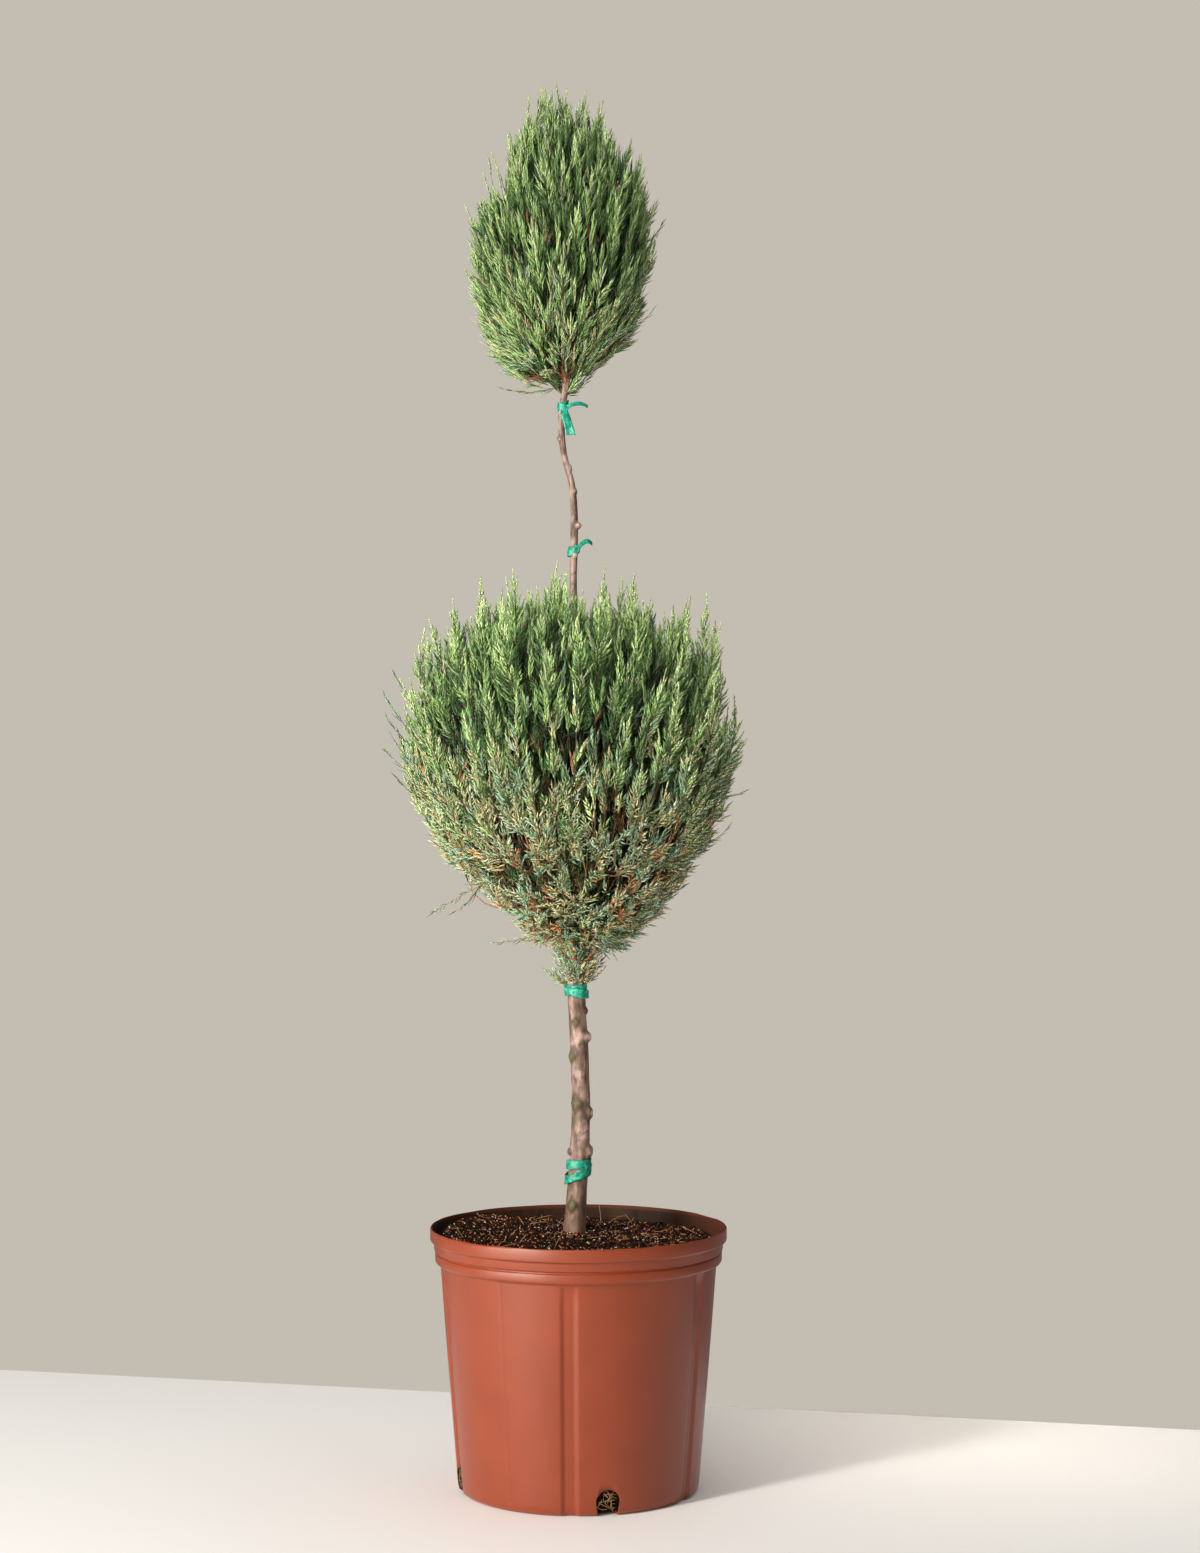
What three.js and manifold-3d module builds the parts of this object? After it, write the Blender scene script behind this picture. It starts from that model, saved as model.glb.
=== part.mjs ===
// A two-tier clipped juniper on a bare stem, growing in a plastic nursery pot with pressed channels.
// Millimetres, +Z up. The origin is the middle of the pot's flat underside, and -Y is the front.
import * as THREE from "three";
import { mergeVertices } from "three/addons/utils/BufferGeometryUtils.js";
import Module from "manifold-3d";

const wasm = await Module();
wasm.setup();

// Driving dimensions

const gap = 0.3; // left between pieces that touch

const pot = {
  height: 264,
  rimRadius: 150,
  wallThickness: 2,
  floorThickness: 3,
  baseRadius: 118,
  cornerRise: 9, // height of the rounded corner between wall and base
  cornerRadius: 122, // radius where that corner meets the wall
  wallTopRadius: 139.5,
  lipHeight: 14,
  upperBandRadius: 146,
  upperBandHeight: 10,
  grooveRadius: 143.5,
  lowerBandRadius: 145,
  lowerBandHeight: 12,
  edge: 1.5, // how far the corners of the lip and bands are eased
  sides: 40,
};
const bandsFoot = pot.height - pot.lipHeight - pot.upperBandHeight - pot.lowerBandHeight;

// Upright channels pressed into the wall: the width at its face and at the channel's floor
const channel = { count: 5, turn: -3.5, width: 17, floorWidth: 8, depth: 2.2 };

const drain = { count: 4, turn: 14, radius: 11.5, height: 14, slotWidth: 20, reach: 16 };

const soil = {
  edgeHeight: 249,
  shoulderRadius: 89,
  shoulderHeight: 252,
  flatRadius: 34,
  middleHeight: 258,
};

// The stem's middle line: sideways, depth and height, with the radius there
const stemRoute = [
  { x: -4.5, y: 0, z: 240, radius: 13.5 },
  { x: -4, y: 0, z: 262, radius: 11.5 },
  { x: -1.5, y: 1, z: 300, radius: 10.4 },
  { x: 2.5, y: 2, z: 370, radius: 10 },
  { x: 1, y: 2, z: 440, radius: 9.4 },
  { x: -2.5, y: 1, z: 505, radius: 9 },
  { x: -4, y: -1, z: 600, radius: 8.2 },
  { x: -1, y: -3, z: 720, radius: 6.6 },
  { x: -4, y: -2, z: 830, radius: 5 },
  { x: -5.3, y: 0, z: 919, radius: 3.9 },
  { x: -4.4, y: 1, z: 965, radius: 4.1 },
  { x: -6.5, y: 2, z: 1012, radius: 3.3 },
  { x: -15, y: 1, z: 1045, radius: 3.2 },
  { x: -17, y: 0, z: 1082, radius: 3.2 },
  { x: -12, y: -1, z: 1118, radius: 3.4 },
  { x: -12, y: 1, z: 1220, radius: 2.6 },
  { x: -13, y: 0, z: 1312, radius: 1.6 },
];
const stemSides = 9;
const stemSteps = 36;
const soilLine = soil.middleHeight + gap;

// Pruning scars left along the bare lengths: height, direction, radius and how far each stands out
const scars = [
  { z: 286, turn: 243, radius: 5, proud: 1.5 },
  { z: 338, turn: 5, radius: 5.5, proud: 4 },
  { z: 339, turn: 190, radius: 4, proud: 3 },
  { z: 378, turn: 0, radius: 5.5, proud: 3 },
  { z: 388, turn: 205, radius: 5, proud: 2.5 },
  { z: 433, turn: 195, radius: 3.5, proud: 3.5 },
  { z: 455, turn: 8, radius: 4.5, proud: 4 },
  { z: 481, turn: 4, radius: 3.5, proud: 2 },
  { z: 935, turn: 310, radius: 3.2, proud: 3.5 },
  { z: 972, turn: 335, radius: 3.6, proud: 4 },
  { z: 1059, turn: 195, radius: 2.8, proud: 1.8 },
];

// Bands of soft tape tied round the stem. A tail runs out from its band and drops towards its end.
const ties = [
  { name: "foot_tie", z: 318, width: 21, tails: [{ turn: 195, length: 9, drop: 4 }] },
  { name: "lower_crown_tie", z: 502, width: 13, tails: [{ turn: 200, length: 7, drop: -2 }] },
  { name: "mid_stem_tie", z: 948, width: 12, tails: [{ turn: 12, length: 15, drop: -5 }] },
  {
    name: "upper_crown_tie",
    z: 1087,
    width: 11,
    tails: [
      { turn: 350, length: 22, drop: 5 },
      { turn: 290, length: 7, drop: 24 },
    ],
  },
];
const scarShape = { neck: 0.62, foot: 1.15, polar: 72, sides: 7 }; // radii as shares, and its tilt
const tapeThickness = 1.6;
const tailShare = 0.75; // a tail's width, as a share of its band's

// Each crown is a clipped egg. Its tiers are rings of foliage masses between two polar angles, seen
// from the hub on the stem. A bough leaves the stem at boughHeight for each mass of its tier.
const crowns = [
  {
    name: "lower",
    seed: 300,
    middle: -14,
    baseHeight: 505,
    wideHeight: 745,
    topHeight: 925,
    radius: 176,
    topPower: 2.5,
    basePower: 1.45,
    hubHeight: 590,
    boughRadius: 4.6,
    sprayLength: 74,
    sprayWidth: 24,
    tiers: [
      { name: "skirt", masses: 6, from: 69, to: 142, turn: 15, plumes: 5, rise: 0.35, boughHeight: 516 },
      { name: "flank", masses: 7, from: 37, to: 68, turn: 40, plumes: 5, rise: 0.9, boughHeight: 562 },
      { name: "top", masses: 5, from: 4, to: 36, turn: 60, plumes: 5, rise: 1, boughHeight: 652 },
    ],
  },
  {
    name: "upper",
    seed: 200,
    middle: -15,
    baseHeight: 1101,
    wideHeight: 1255,
    topHeight: 1412,
    radius: 97,
    topPower: 1.95,
    basePower: 2.2,
    hubHeight: 1140,
    boughRadius: 2.4,
    sprayLength: 56,
    sprayWidth: 18,
    tiers: [
      { name: "flank", masses: 5, from: 31, to: 125, turn: 180, plumes: 6, rise: 0.5, boughHeight: 1110 },
      { name: "top", masses: 4, from: 3, to: 30, turn: 25, plumes: 5, rise: 1, boughHeight: 0 },
    ],
  },
];
const waves = { threefold: 0.025, fivefold: 0.015 }; // the crowns' unevenness, as shares of the radius
const heart = 0.3; // where a bough ends and its mass's stem begins, as a share of the way to the outline
const core = { inner: 0.34, outer: 0.84, spread: 0.95, easing: 0.28 }; // a mass's dense heart
const furthestTip = 1.04; // how far out a spray may reach, as a share of the way to the outline
const tipVariety = 0.06; // how much less far some reach
const spaceMargin = 1.6; // kept between a mass's pieces and the sides of its space
const boughShape = { stagger: 6, taper: 0.62, sag: 0.06, stalk: 0.6, sides: 6 }; // stagger in bough radii
const plumeSpread = { across: 0.75, down: 0.83, footAcross: 0.64, footDown: 0.86 }; // in half spans
const plumeFoot = { reach: 0.6, rise: 0.16, radius: 2.2, endRadius: 1.6 };
const sprayShape = { widest: 0.42, flatness: 0.7 };
const leaning = { spread: 0.55, start: 1.4, step: 0.2, apart: 0.6, size: 0.9 }; // the side sprays
const goldenRatio = (Math.sqrt(5) - 1) / 2;

const colours = {
  pot: { color: 0xa8553c, roughness: 0.45, metalness: 0 },
  soil: { color: 0x2e1d14, roughness: 0.95, metalness: 0 },
  bark: { color: 0x86695a, roughness: 0.85, metalness: 0 },
  bough: { color: 0x8a5236, roughness: 0.8, metalness: 0 },
  foliage: { color: 0x5f8a4a, roughness: 0.7, metalness: 0 },
  tape: { color: 0x1fae86, roughness: 0.4, metalness: 0 },
};

// Small tools

const radians = THREE.MathUtils.degToRad;

function vector(x, y, z) {
  return new THREE.Vector3(x, y, z);
}

function fraction(value) {
  return value - Math.floor(value);
}

// A repeatable number from 0 to 1 for a count and a purpose
function chance(count, purpose) {
  return fraction(Math.sin(count * 12.9898 + purpose * 78.233) * 43758.5453);
}

// The unit vector at an azimuth round Z and a polar angle from +Z
function aim(azimuth, polar) {
  const level = Math.sin(polar);
  return vector(level * Math.cos(azimuth), level * Math.sin(azimuth), Math.cos(polar));
}

// A closed geometry as a solid that can be joined and cut
function solidOf(geometry) {
  const bare = geometry.clone();
  bare.deleteAttribute("normal");
  bare.deleteAttribute("uv");
  const merged = mergeVertices(bare, 1e-4);
  const corners = merged.index.array;
  const kept = [];
  for (let i = 0; i < corners.length; i += 3) {
    const [a, b, c] = [corners[i], corners[i + 1], corners[i + 2]];
    if (a !== b && b !== c && c !== a) kept.push(a, b, c);
  }
  return new wasm.Manifold(
    new wasm.Mesh({
      numProp: 3,
      vertProperties: merged.attributes.position.array,
      triVerts: new Uint32Array(kept),
    }),
  );
}

function joined(solids) {
  return solids.reduce((whole, piece) => whole.add(piece));
}

// The largest body of a solid, without loose scraps or sealed hollows
function mainBody(solid) {
  return solid.decompose().reduce((best, body) => (body.volume() > best.volume() ? body : best));
}

function meshOf(name, solid, colour) {
  const made = solid.getMesh();
  const places = new Float32Array(made.numVert * 3);
  for (let i = 0; i < made.numVert; i++) {
    places.set(made.vertProperties.subarray(i * made.numProp, i * made.numProp + 3), i * 3);
  }
  const geometry = new THREE.BufferGeometry();
  geometry.setAttribute("position", new THREE.BufferAttribute(places, 3));
  geometry.setIndex(new THREE.BufferAttribute(new Uint32Array(made.triVerts), 1));
  geometry.computeVertexNormals();
  const mesh = new THREE.Mesh(geometry, new THREE.MeshStandardMaterial(colour));
  mesh.name = name;
  return mesh;
}

// A limb: a cylinder bent along a curve, with its radius read from a function of the share along it
function limb(curve, radiusAt, sides, steps) {
  const geometry = new THREE.CylinderGeometry(1, 1, 1, sides, steps);
  const frames = curve.computeFrenetFrames(steps, false);
  const middles = curve.getSpacedPoints(steps);
  const position = geometry.attributes.position;
  for (let i = 0; i < position.count; i++) {
    const step = Math.round((position.getY(i) + 0.5) * steps);
    const radius = radiusAt(step / steps);
    const place = middles[step]
      .clone()
      .addScaledVector(frames.binormals[step], position.getX(i) * radius)
      .addScaledVector(frames.normals[step], position.getZ(i) * radius);
    position.setXYZ(i, place.x, place.y, place.z);
  }
  return solidOf(geometry);
}

function taper(first, last) {
  return (share) => first + (last - first) * share;
}

// Turned round Z from a closed outline of [radius, height] points
function turned(outline, sides) {
  const points = outline.map(([radius, height]) => new THREE.Vector2(radius, height));
  const geometry = new THREE.LatheGeometry(points, sides);
  geometry.rotateX(Math.PI / 2); // the lathe turns about Y
  return solidOf(geometry);
}

// The pot

// The radius of the plain wall at a height
function wallRadius(height) {
  const share = (height - pot.cornerRise) / (bandsFoot - pot.cornerRise);
  return pot.cornerRadius + (pot.wallTopRadius - pot.cornerRadius) * share;
}

function potShell() {
  const { edge } = pot;
  const lipFoot = pot.height - pot.lipHeight;
  const grooveHeight = lipFoot - pot.upperBandHeight;
  const inner = (radius) => radius - pot.wallThickness;
  return turned(
    [
      [0, 0],
      [pot.baseRadius, 0],
      [pot.baseRadius + 2 * edge, 2 * edge],
      [pot.cornerRadius, pot.cornerRise],
      [wallRadius(bandsFoot), bandsFoot],
      [pot.lowerBandRadius - edge, bandsFoot + edge],
      [pot.lowerBandRadius, grooveHeight - edge],
      [pot.grooveRadius, grooveHeight],
      [pot.upperBandRadius, grooveHeight + edge],
      [pot.upperBandRadius, lipFoot],
      [pot.rimRadius, lipFoot + edge],
      [pot.rimRadius, pot.height - edge],
      [pot.rimRadius - edge, pot.height],
      [inner(pot.rimRadius), pot.height],
      [inner(pot.rimRadius), lipFoot + edge],
      [inner(pot.grooveRadius), grooveHeight],
      [inner(wallRadius(bandsFoot)), bandsFoot],
      [inner(pot.cornerRadius), pot.cornerRise + edge],
      [inner(pot.baseRadius), pot.floorThickness],
      [0, pot.floorThickness],
    ],
    pot.sides,
  );
}

// A wedge that stands along the wall, between two heights and two offsets from the wall's face
function wallWedge(turn, { foot, head, inner, outer, innerWidth, outerWidth }) {
  const geometry = new THREE.BoxGeometry(1, 1, 1);
  const position = geometry.attributes.position;
  for (let i = 0; i < position.count; i++) {
    const height = position.getZ(i) > 0 ? head : foot;
    const isOuter = position.getX(i) > 0;
    const width = isOuter ? outerWidth : innerWidth;
    const radius = wallRadius(height) + (isOuter ? outer : inner);
    position.setXYZ(i, radius, Math.sign(position.getY(i)) * width * 0.5, height);
  }
  geometry.rotateZ(radians(turn - 90)); // turn 0 faces the front
  return solidOf(geometry);
}

// What is pressed out of the wall's face: from just under the lower band down past the base
function channelCutter(turn) {
  const slope = (channel.width - channel.floorWidth) / (2 * channel.depth);
  return wallWedge(turn, {
    foot: -pot.edge,
    head: bandsFoot - pot.edge,
    inner: -channel.depth,
    outer: channel.depth,
    innerWidth: channel.floorWidth,
    outerWidth: channel.width + 2 * slope * channel.depth,
  });
}

// The back of a channel, which stands into the pot, with extra all round it
function channelBack(turn, extra) {
  return wallWedge(turn, {
    foot: pot.floorThickness - gap - extra,
    head: bandsFoot + extra,
    inner: -channel.depth - pot.wallThickness - extra,
    outer: -pot.wallThickness / 2,
    innerWidth: channel.floorWidth + 2 * pot.wallThickness + 2 * extra,
    outerWidth: channel.width + 2 * pot.wallThickness + 2 * extra,
  });
}

// A drain hole through the foot of the wall, open down through the corner of the base
function drainCutter(turn) {
  const hole = new THREE.CylinderGeometry(drain.radius, drain.radius, drain.reach * 2, 16);
  hole.rotateZ(Math.PI / 2);
  hole.translate(pot.cornerRadius, 0, drain.height);
  const slot = new THREE.BoxGeometry(drain.reach * 2, drain.slotWidth, drain.height * 2);
  slot.translate(pot.cornerRadius, 0, 0);
  const cutters = [hole, slot].map((geometry) => {
    geometry.rotateZ(radians(turn - 90));
    return solidOf(geometry);
  });
  return joined(cutters);
}

// The directions of things spread evenly round the pot
function turnsOf({ count, turn }) {
  return Array.from({ length: count }, (_, i) => turn + (i * 360) / count);
}

function makePot() {
  let made = potShell();
  for (const turn of turnsOf(channel)) made = made.add(channelBack(turn, 0));
  for (const turn of turnsOf(channel)) made = made.subtract(channelCutter(turn));
  for (const turn of turnsOf(drain)) made = made.subtract(drainCutter(turn));
  return mainBody(made);
}

// The potting mix fills the pot and rises a little towards the stem
function makeSoil() {
  const clear = pot.wallThickness + 2 * gap;
  const foot = pot.floorThickness + gap;
  const filling = turned(
    [
      [0, foot],
      [pot.baseRadius - clear - gap, foot],
      [pot.cornerRadius - clear, pot.cornerRise + 2 * pot.edge],
      [wallRadius(bandsFoot) - clear, bandsFoot],
      [pot.grooveRadius - clear - pot.edge, soil.edgeHeight],
      [soil.shoulderRadius, soil.shoulderHeight],
      [soil.flatRadius, soil.middleHeight],
      [0, soil.middleHeight],
    ],
    pot.sides,
  );
  const backs = turnsOf(channel).map((turn) => channelBack(turn, gap));
  return mainBody(filling.subtract(joined(backs)));
}

// The stem

const stemCurve = new THREE.CatmullRomCurve3(
  stemRoute.map(({ x, y, z }) => vector(x, y, z)),
  false,
  "centripetal",
);

// The stem's middle and radius at a height, straight between the points of its route
function stemAt(height) {
  const last = stemRoute.length - 2;
  const found = stemRoute.findIndex((point, i) => i === last || stemRoute[i + 1].z >= height);
  const [low, high] = [stemRoute[found], stemRoute[found + 1]];
  const share = THREE.MathUtils.clamp((height - low.z) / (high.z - low.z), 0, 1);
  const between = (name) => low[name] + (high[name] - low[name]) * share;
  return { middle: vector(between("x"), between("y"), height), radius: between("radius") };
}

function stemSolid(extra) {
  const middles = stemCurve.getSpacedPoints(stemSteps);
  const radiusAt = (share) => stemAt(middles[Math.round(share * stemSteps)].z).radius + extra;
  return limb(stemCurve, radiusAt, stemSides, stemSteps);
}

// The stub of a pruned shoot: a short cone that points out and a little up
function scarSolid({ z, turn, radius, proud }) {
  const { neck, foot, polar, sides } = scarShape;
  const { middle, radius: stemRadius } = stemAt(z);
  const length = stemRadius + proud;
  const geometry = new THREE.CylinderGeometry(radius * neck, radius * foot, length, sides);
  geometry.translate(0, length / 2, 0);
  const way = aim(radians(turn), radians(polar));
  geometry.applyQuaternion(new THREE.Quaternion().setFromUnitVectors(vector(0, 1, 0), way));
  geometry.translate(middle.x, middle.y, middle.z);
  return solidOf(geometry);
}

// The stem with its scars, cut flat just above the potting mix
function makeStem() {
  const whole = joined([stemSolid(0), ...scars.map(scarSolid)]);
  const below = new THREE.BoxGeometry(200, 200, 100);
  below.translate(0, 0, soilLine - 50);
  return mainBody(whole.subtract(solidOf(below)));
}

// A band of tape that fits the stem, with its loose tails
function makeTie(tie, stemSleeve) {
  const { middle, radius } = stemAt(tie.z);
  const outside = radius + gap + tapeThickness;
  const band = new THREE.CylinderGeometry(outside, outside, tie.width, 12);
  band.rotateX(Math.PI / 2);
  const tails = tie.tails.map(({ turn, length, drop }) => {
    const tail = new THREE.BoxGeometry(length, tapeThickness, tie.width * tailShare);
    const position = tail.attributes.position;
    for (let i = 0; i < position.count; i++) {
      const isEnd = position.getX(i) > 0;
      const out = isEnd ? outside + length : radius;
      position.setXYZ(i, out, position.getY(i), position.getZ(i) - (isEnd ? drop : 0));
    }
    return tail.rotateZ(radians(turn));
  });
  const whole = joined([band, ...tails].map(solidOf)).translate(middle.x, middle.y, middle.z);
  return mainBody(whole.subtract(stemSleeve));
}

// The crowns

// The crown's radius at a height: a superellipse above its widest place and another below
function crownRadius(crown, height) {
  const isAbove = height > crown.wideHeight;
  const reach = isAbove ? crown.topHeight - crown.wideHeight : crown.wideHeight - crown.baseHeight;
  const power = isAbove ? crown.topPower : crown.basePower;
  const share = Math.abs(height - crown.wideHeight) / reach;
  return share >= 1 ? 0 : crown.radius * Math.pow(1 - Math.pow(share, power), 1 / power);
}

// The distance from a crown's hub to its outline along a direction, by halving
function outlineReach(crown, way) {
  let [near, far] = [0, 400];
  for (let i = 0; i < 24; i++) {
    const middle = (near + far) / 2;
    const place = crown.hub.clone().addScaledVector(way, middle);
    const out = Math.hypot(place.x - crown.middle, place.y);
    if (out < crownRadius(crown, place.z)) near = middle;
    else far = middle;
  }
  const azimuth = Math.atan2(way.y, way.x);
  const threefold = waves.threefold * Math.sin(3 * azimuth + 1);
  const fivefold = waves.fivefold * Math.sin(5 * azimuth + crown.seed);
  return near * (1 + threefold + fivefold);
}

// The masses of a tier: each has a sector of azimuth and the tier's band of polar angle
function massesOf(crown, tier, tierIndex) {
  const span = (2 * Math.PI) / tier.masses;
  return Array.from({ length: tier.masses }, (_, i) => {
    const azimuth = radians(tier.turn) + i * span;
    const polar = radians((tier.from + tier.to) / 2);
    const way = aim(azimuth, polar);
    return {
      crown,
      tier,
      name: `${crown.name}_${tier.name}`,
      number: i + 1,
      seed: crown.seed + tierIndex * 20 + i,
      azimuth,
      halfSpan: span / 2,
      polar,
      halfBand: radians((tier.to - tier.from) / 2),
      way,
      reach: outlineReach(crown, way),
      hasBough: tier.boughHeight > 0,
    };
  });
}

// Whether a place lies in a mass's own space and clear of the stem
function inSpace(mass, place) {
  const { hub } = mass.crown;
  const out = place.clone().sub(hub);
  const distance = out.length();
  const level = Math.hypot(out.x, out.y);
  const aside = Math.atan2(out.y, out.x) - mass.azimuth;
  const turnedBy = Math.abs(Math.atan2(Math.sin(aside), Math.cos(aside)));
  const tilted = Math.abs(Math.acos(out.z / distance) - mass.polar);
  const { middle, radius } = stemAt(place.z);
  const fromStem = Math.hypot(place.x - middle.x, place.y - middle.y);
  return (
    level * Math.sin(Math.max(mass.halfSpan - turnedBy, 0)) > spaceMargin &&
    distance * Math.sin(Math.max(mass.halfBand - tilted, 0)) > spaceMargin &&
    fromStem > radius + 2 * spaceMargin
  );
}

// The plumes of a mass: upright shoots whose tips are spread over the outline of its space
function plumesOf(mass) {
  const { crown, tier } = mass;
  return Array.from({ length: tier.plumes }, (_, i) => {
    const seed = mass.seed * 10 + i;
    const aside = fraction(0.5 + i * goldenRatio + mass.seed * 0.37) * 2 - 1; // from -1 to 1
    const down = ((i + 0.5) / tier.plumes) * 2 - 1;
    const tipDown = down * plumeSpread.down;
    const footDown = Math.min(tipDown + tier.rise, plumeSpread.footDown);
    const wayTo = (across, below) =>
      aim(mass.azimuth + aside * across * mass.halfSpan, mass.polar + below * mass.halfBand);
    const placeAt = (way, share) =>
      crown.hub.clone().addScaledVector(way, outlineReach(crown, way) * share);
    const tip = placeAt(wayTo(plumeSpread.across, tipDown), furthestTip - tipVariety * chance(seed, 1));
    const foot = placeAt(
      wayTo(plumeSpread.footAcross, footDown),
      plumeFoot.reach + plumeFoot.rise * (footDown - tipDown),
    );
    return { tip, foot, heading: tip.clone().sub(foot).normalize(), seed };
  });
}

// A place drawn in towards a crown's hub, where it would stand too far out of the outline
function drawnIn(crown, place) {
  const out = place.clone().sub(crown.hub);
  const reach = outlineReach(crown, out.clone().normalize()) * furthestTip;
  return crown.hub.clone().add(out.clampLength(0, reach));
}

// The sprays of a plume: one that ends it and two that lean out beside it
function spraysOf(crown, plume) {
  const side = plume.heading.clone().cross(vector(0.3, 0.95, 0)).normalize();
  const other = plume.heading.clone().cross(side);
  const length = crown.sprayLength;
  const beside = [0, 1].map((i) => {
    const turn = (i / 2 + chance(plume.seed, 3)) * 2 * Math.PI;
    const out = side.clone().multiplyScalar(Math.cos(turn)).addScaledVector(other, Math.sin(turn));
    const heading = plume.heading.clone().addScaledVector(out, leaning.spread).normalize();
    const root = plume.tip
      .clone()
      .addScaledVector(plume.heading, -length * (leaning.start - leaning.step * i))
      .addScaledVector(out, crown.sprayWidth * leaning.apart);
    const tip = drawnIn(crown, root.clone().addScaledVector(heading, length));
    return { root, tip, width: crown.sprayWidth * leaning.size };
  });
  const endRoot = plume.tip.clone().addScaledVector(plume.heading, -length);
  return [{ root: endRoot, tip: plume.tip, width: crown.sprayWidth }, ...beside];
}

// The corners of a spray: its root, the four round its widest place, and its tip
function sprayCorners({ root, tip, width }) {
  const along = tip.clone().sub(root);
  const side = along.clone().cross(vector(0.2, 0.1, 1)).normalize();
  const other = side.clone().cross(along).normalize();
  const wide = root.clone().addScaledVector(along, sprayShape.widest);
  const half = width / 2;
  const thin = half * sprayShape.flatness;
  const rounds = [
    wide.clone().addScaledVector(side, half),
    wide.clone().addScaledVector(other, thin),
    wide.clone().addScaledVector(side, -half),
    wide.clone().addScaledVector(other, -thin),
  ];
  return { root, tip, rounds };
}

// A spray as an eight-faced spindle
function spraySolid(spray) {
  const { root, tip, rounds } = sprayCorners(spray);
  const geometry = new THREE.OctahedronGeometry(1);
  const position = geometry.attributes.position;
  for (let i = 0; i < position.count; i++) {
    const [x, y, z] = [position.getX(i), position.getY(i), position.getZ(i)];
    let place = y > 0.5 ? tip : root;
    if (x > 0.5) place = rounds[0];
    if (z > 0.5) place = rounds[1];
    if (x < -0.5) place = rounds[2];
    if (z < -0.5) place = rounds[3];
    position.setXYZ(i, place.x, place.y, place.z);
  }
  return solidOf(geometry);
}

// The dense heart of a mass: a box with eased corners, bent to fill the mass's space
function coreSolid(mass) {
  const geometry = new THREE.BoxGeometry(2, 2, 2, 2, 3, 1);
  const position = geometry.attributes.position;
  for (let i = 0; i < position.count; i++) {
    const spot = new THREE.Vector3().fromBufferAttribute(position, i);
    spot.divideScalar(Math.max(1, Math.pow(spot.length(), core.easing)));
    const azimuth = mass.azimuth + spot.x * mass.halfSpan * core.spread;
    const polar = mass.polar - spot.y * mass.halfBand * core.spread;
    const way = aim(azimuth, polar);
    const share = core.inner + (core.outer - core.inner) * (spot.z / 2 + 0.5);
    const place = mass.crown.hub.clone().addScaledVector(way, outlineReach(mass.crown, way) * share);
    position.setXYZ(i, place.x, place.y, place.z);
  }
  return solidOf(geometry);
}

// Where a mass's bough ends
function boughTip(mass) {
  return mass.crown.hub.clone().addScaledVector(mass.way, mass.reach * heart);
}

// The bough's middle line, from inside the stem out to the mass, or that far and a little further
function boughCurve(mass, further) {
  const stagger = mass.crown.boughRadius * boughShape.stagger * fraction(mass.number * goldenRatio);
  const start = stemAt(mass.tier.boughHeight + stagger).middle;
  const tip = boughTip(mass);
  const bend = start.clone().lerp(tip, 0.5);
  bend.z -= start.distanceTo(tip) * boughShape.sag;
  tip.addScaledVector(tip.clone().sub(bend).normalize(), further);
  return new THREE.QuadraticBezierCurve3(start, bend, tip);
}

// The bough itself, or with extra all round it the space that other pieces keep out of
function boughSolid(mass, extra) {
  const { boughRadius } = mass.crown;
  const radiusAt = taper(boughRadius + extra, boughRadius * boughShape.taper + extra);
  return limb(boughCurve(mass, extra), radiusAt, boughShape.sides, 2);
}

// A mass's own stem: it begins square to its bough's end, or at the stem of the plant
function stalkSolid(mass) {
  const { crown } = mass;
  const radius = crown.boughRadius * boughShape.stalk;
  const end = crown.hub.clone().addScaledVector(mass.way, (mass.reach * (core.inner + core.outer)) / 2);
  if (!mass.hasBough) return limb(new THREE.LineCurve3(crown.hub, end), taper(radius, radius), 5, 1);
  const onward = boughCurve(mass, gap).getTangent(1);
  const start = boughTip(mass).addScaledVector(onward, gap);
  const bend = start.clone().addScaledVector(onward, start.distanceTo(end) / 2);
  return limb(new THREE.QuadraticBezierCurve3(start, bend, end), taper(radius, radius), 5, 3);
}

// A mass: its stem, its core, and the plumes of sprays that stand out of the core
function makeMass(mass, sleeves) {
  let whole = coreSolid(mass).add(stalkSolid(mass));
  for (const plume of plumesOf(mass)) {
    if (!inSpace(mass, plume.foot) || !inSpace(mass, plume.tip)) continue;
    const sprays = spraysOf(mass.crown, plume);
    const twig = new THREE.LineCurve3(plume.foot, sprays[0].root.clone().lerp(plume.tip, 0.2));
    const pieces = [limb(twig, taper(plumeFoot.radius, plumeFoot.endRadius), 3, 1)];
    for (const spray of sprays) {
      const { tip, rounds } = sprayCorners(spray);
      if ([tip, ...rounds].every((place) => inSpace(mass, place))) pieces.push(spraySolid(spray));
    }
    whole = whole.add(joined(pieces));
  }
  return mainBody(whole.subtract(sleeves));
}

// The whole plant and its pot

const topiary = new THREE.Group();
const stemSleeve = stemSolid(gap);
for (const crown of crowns) crown.hub = stemAt(crown.hubHeight).middle;

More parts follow.
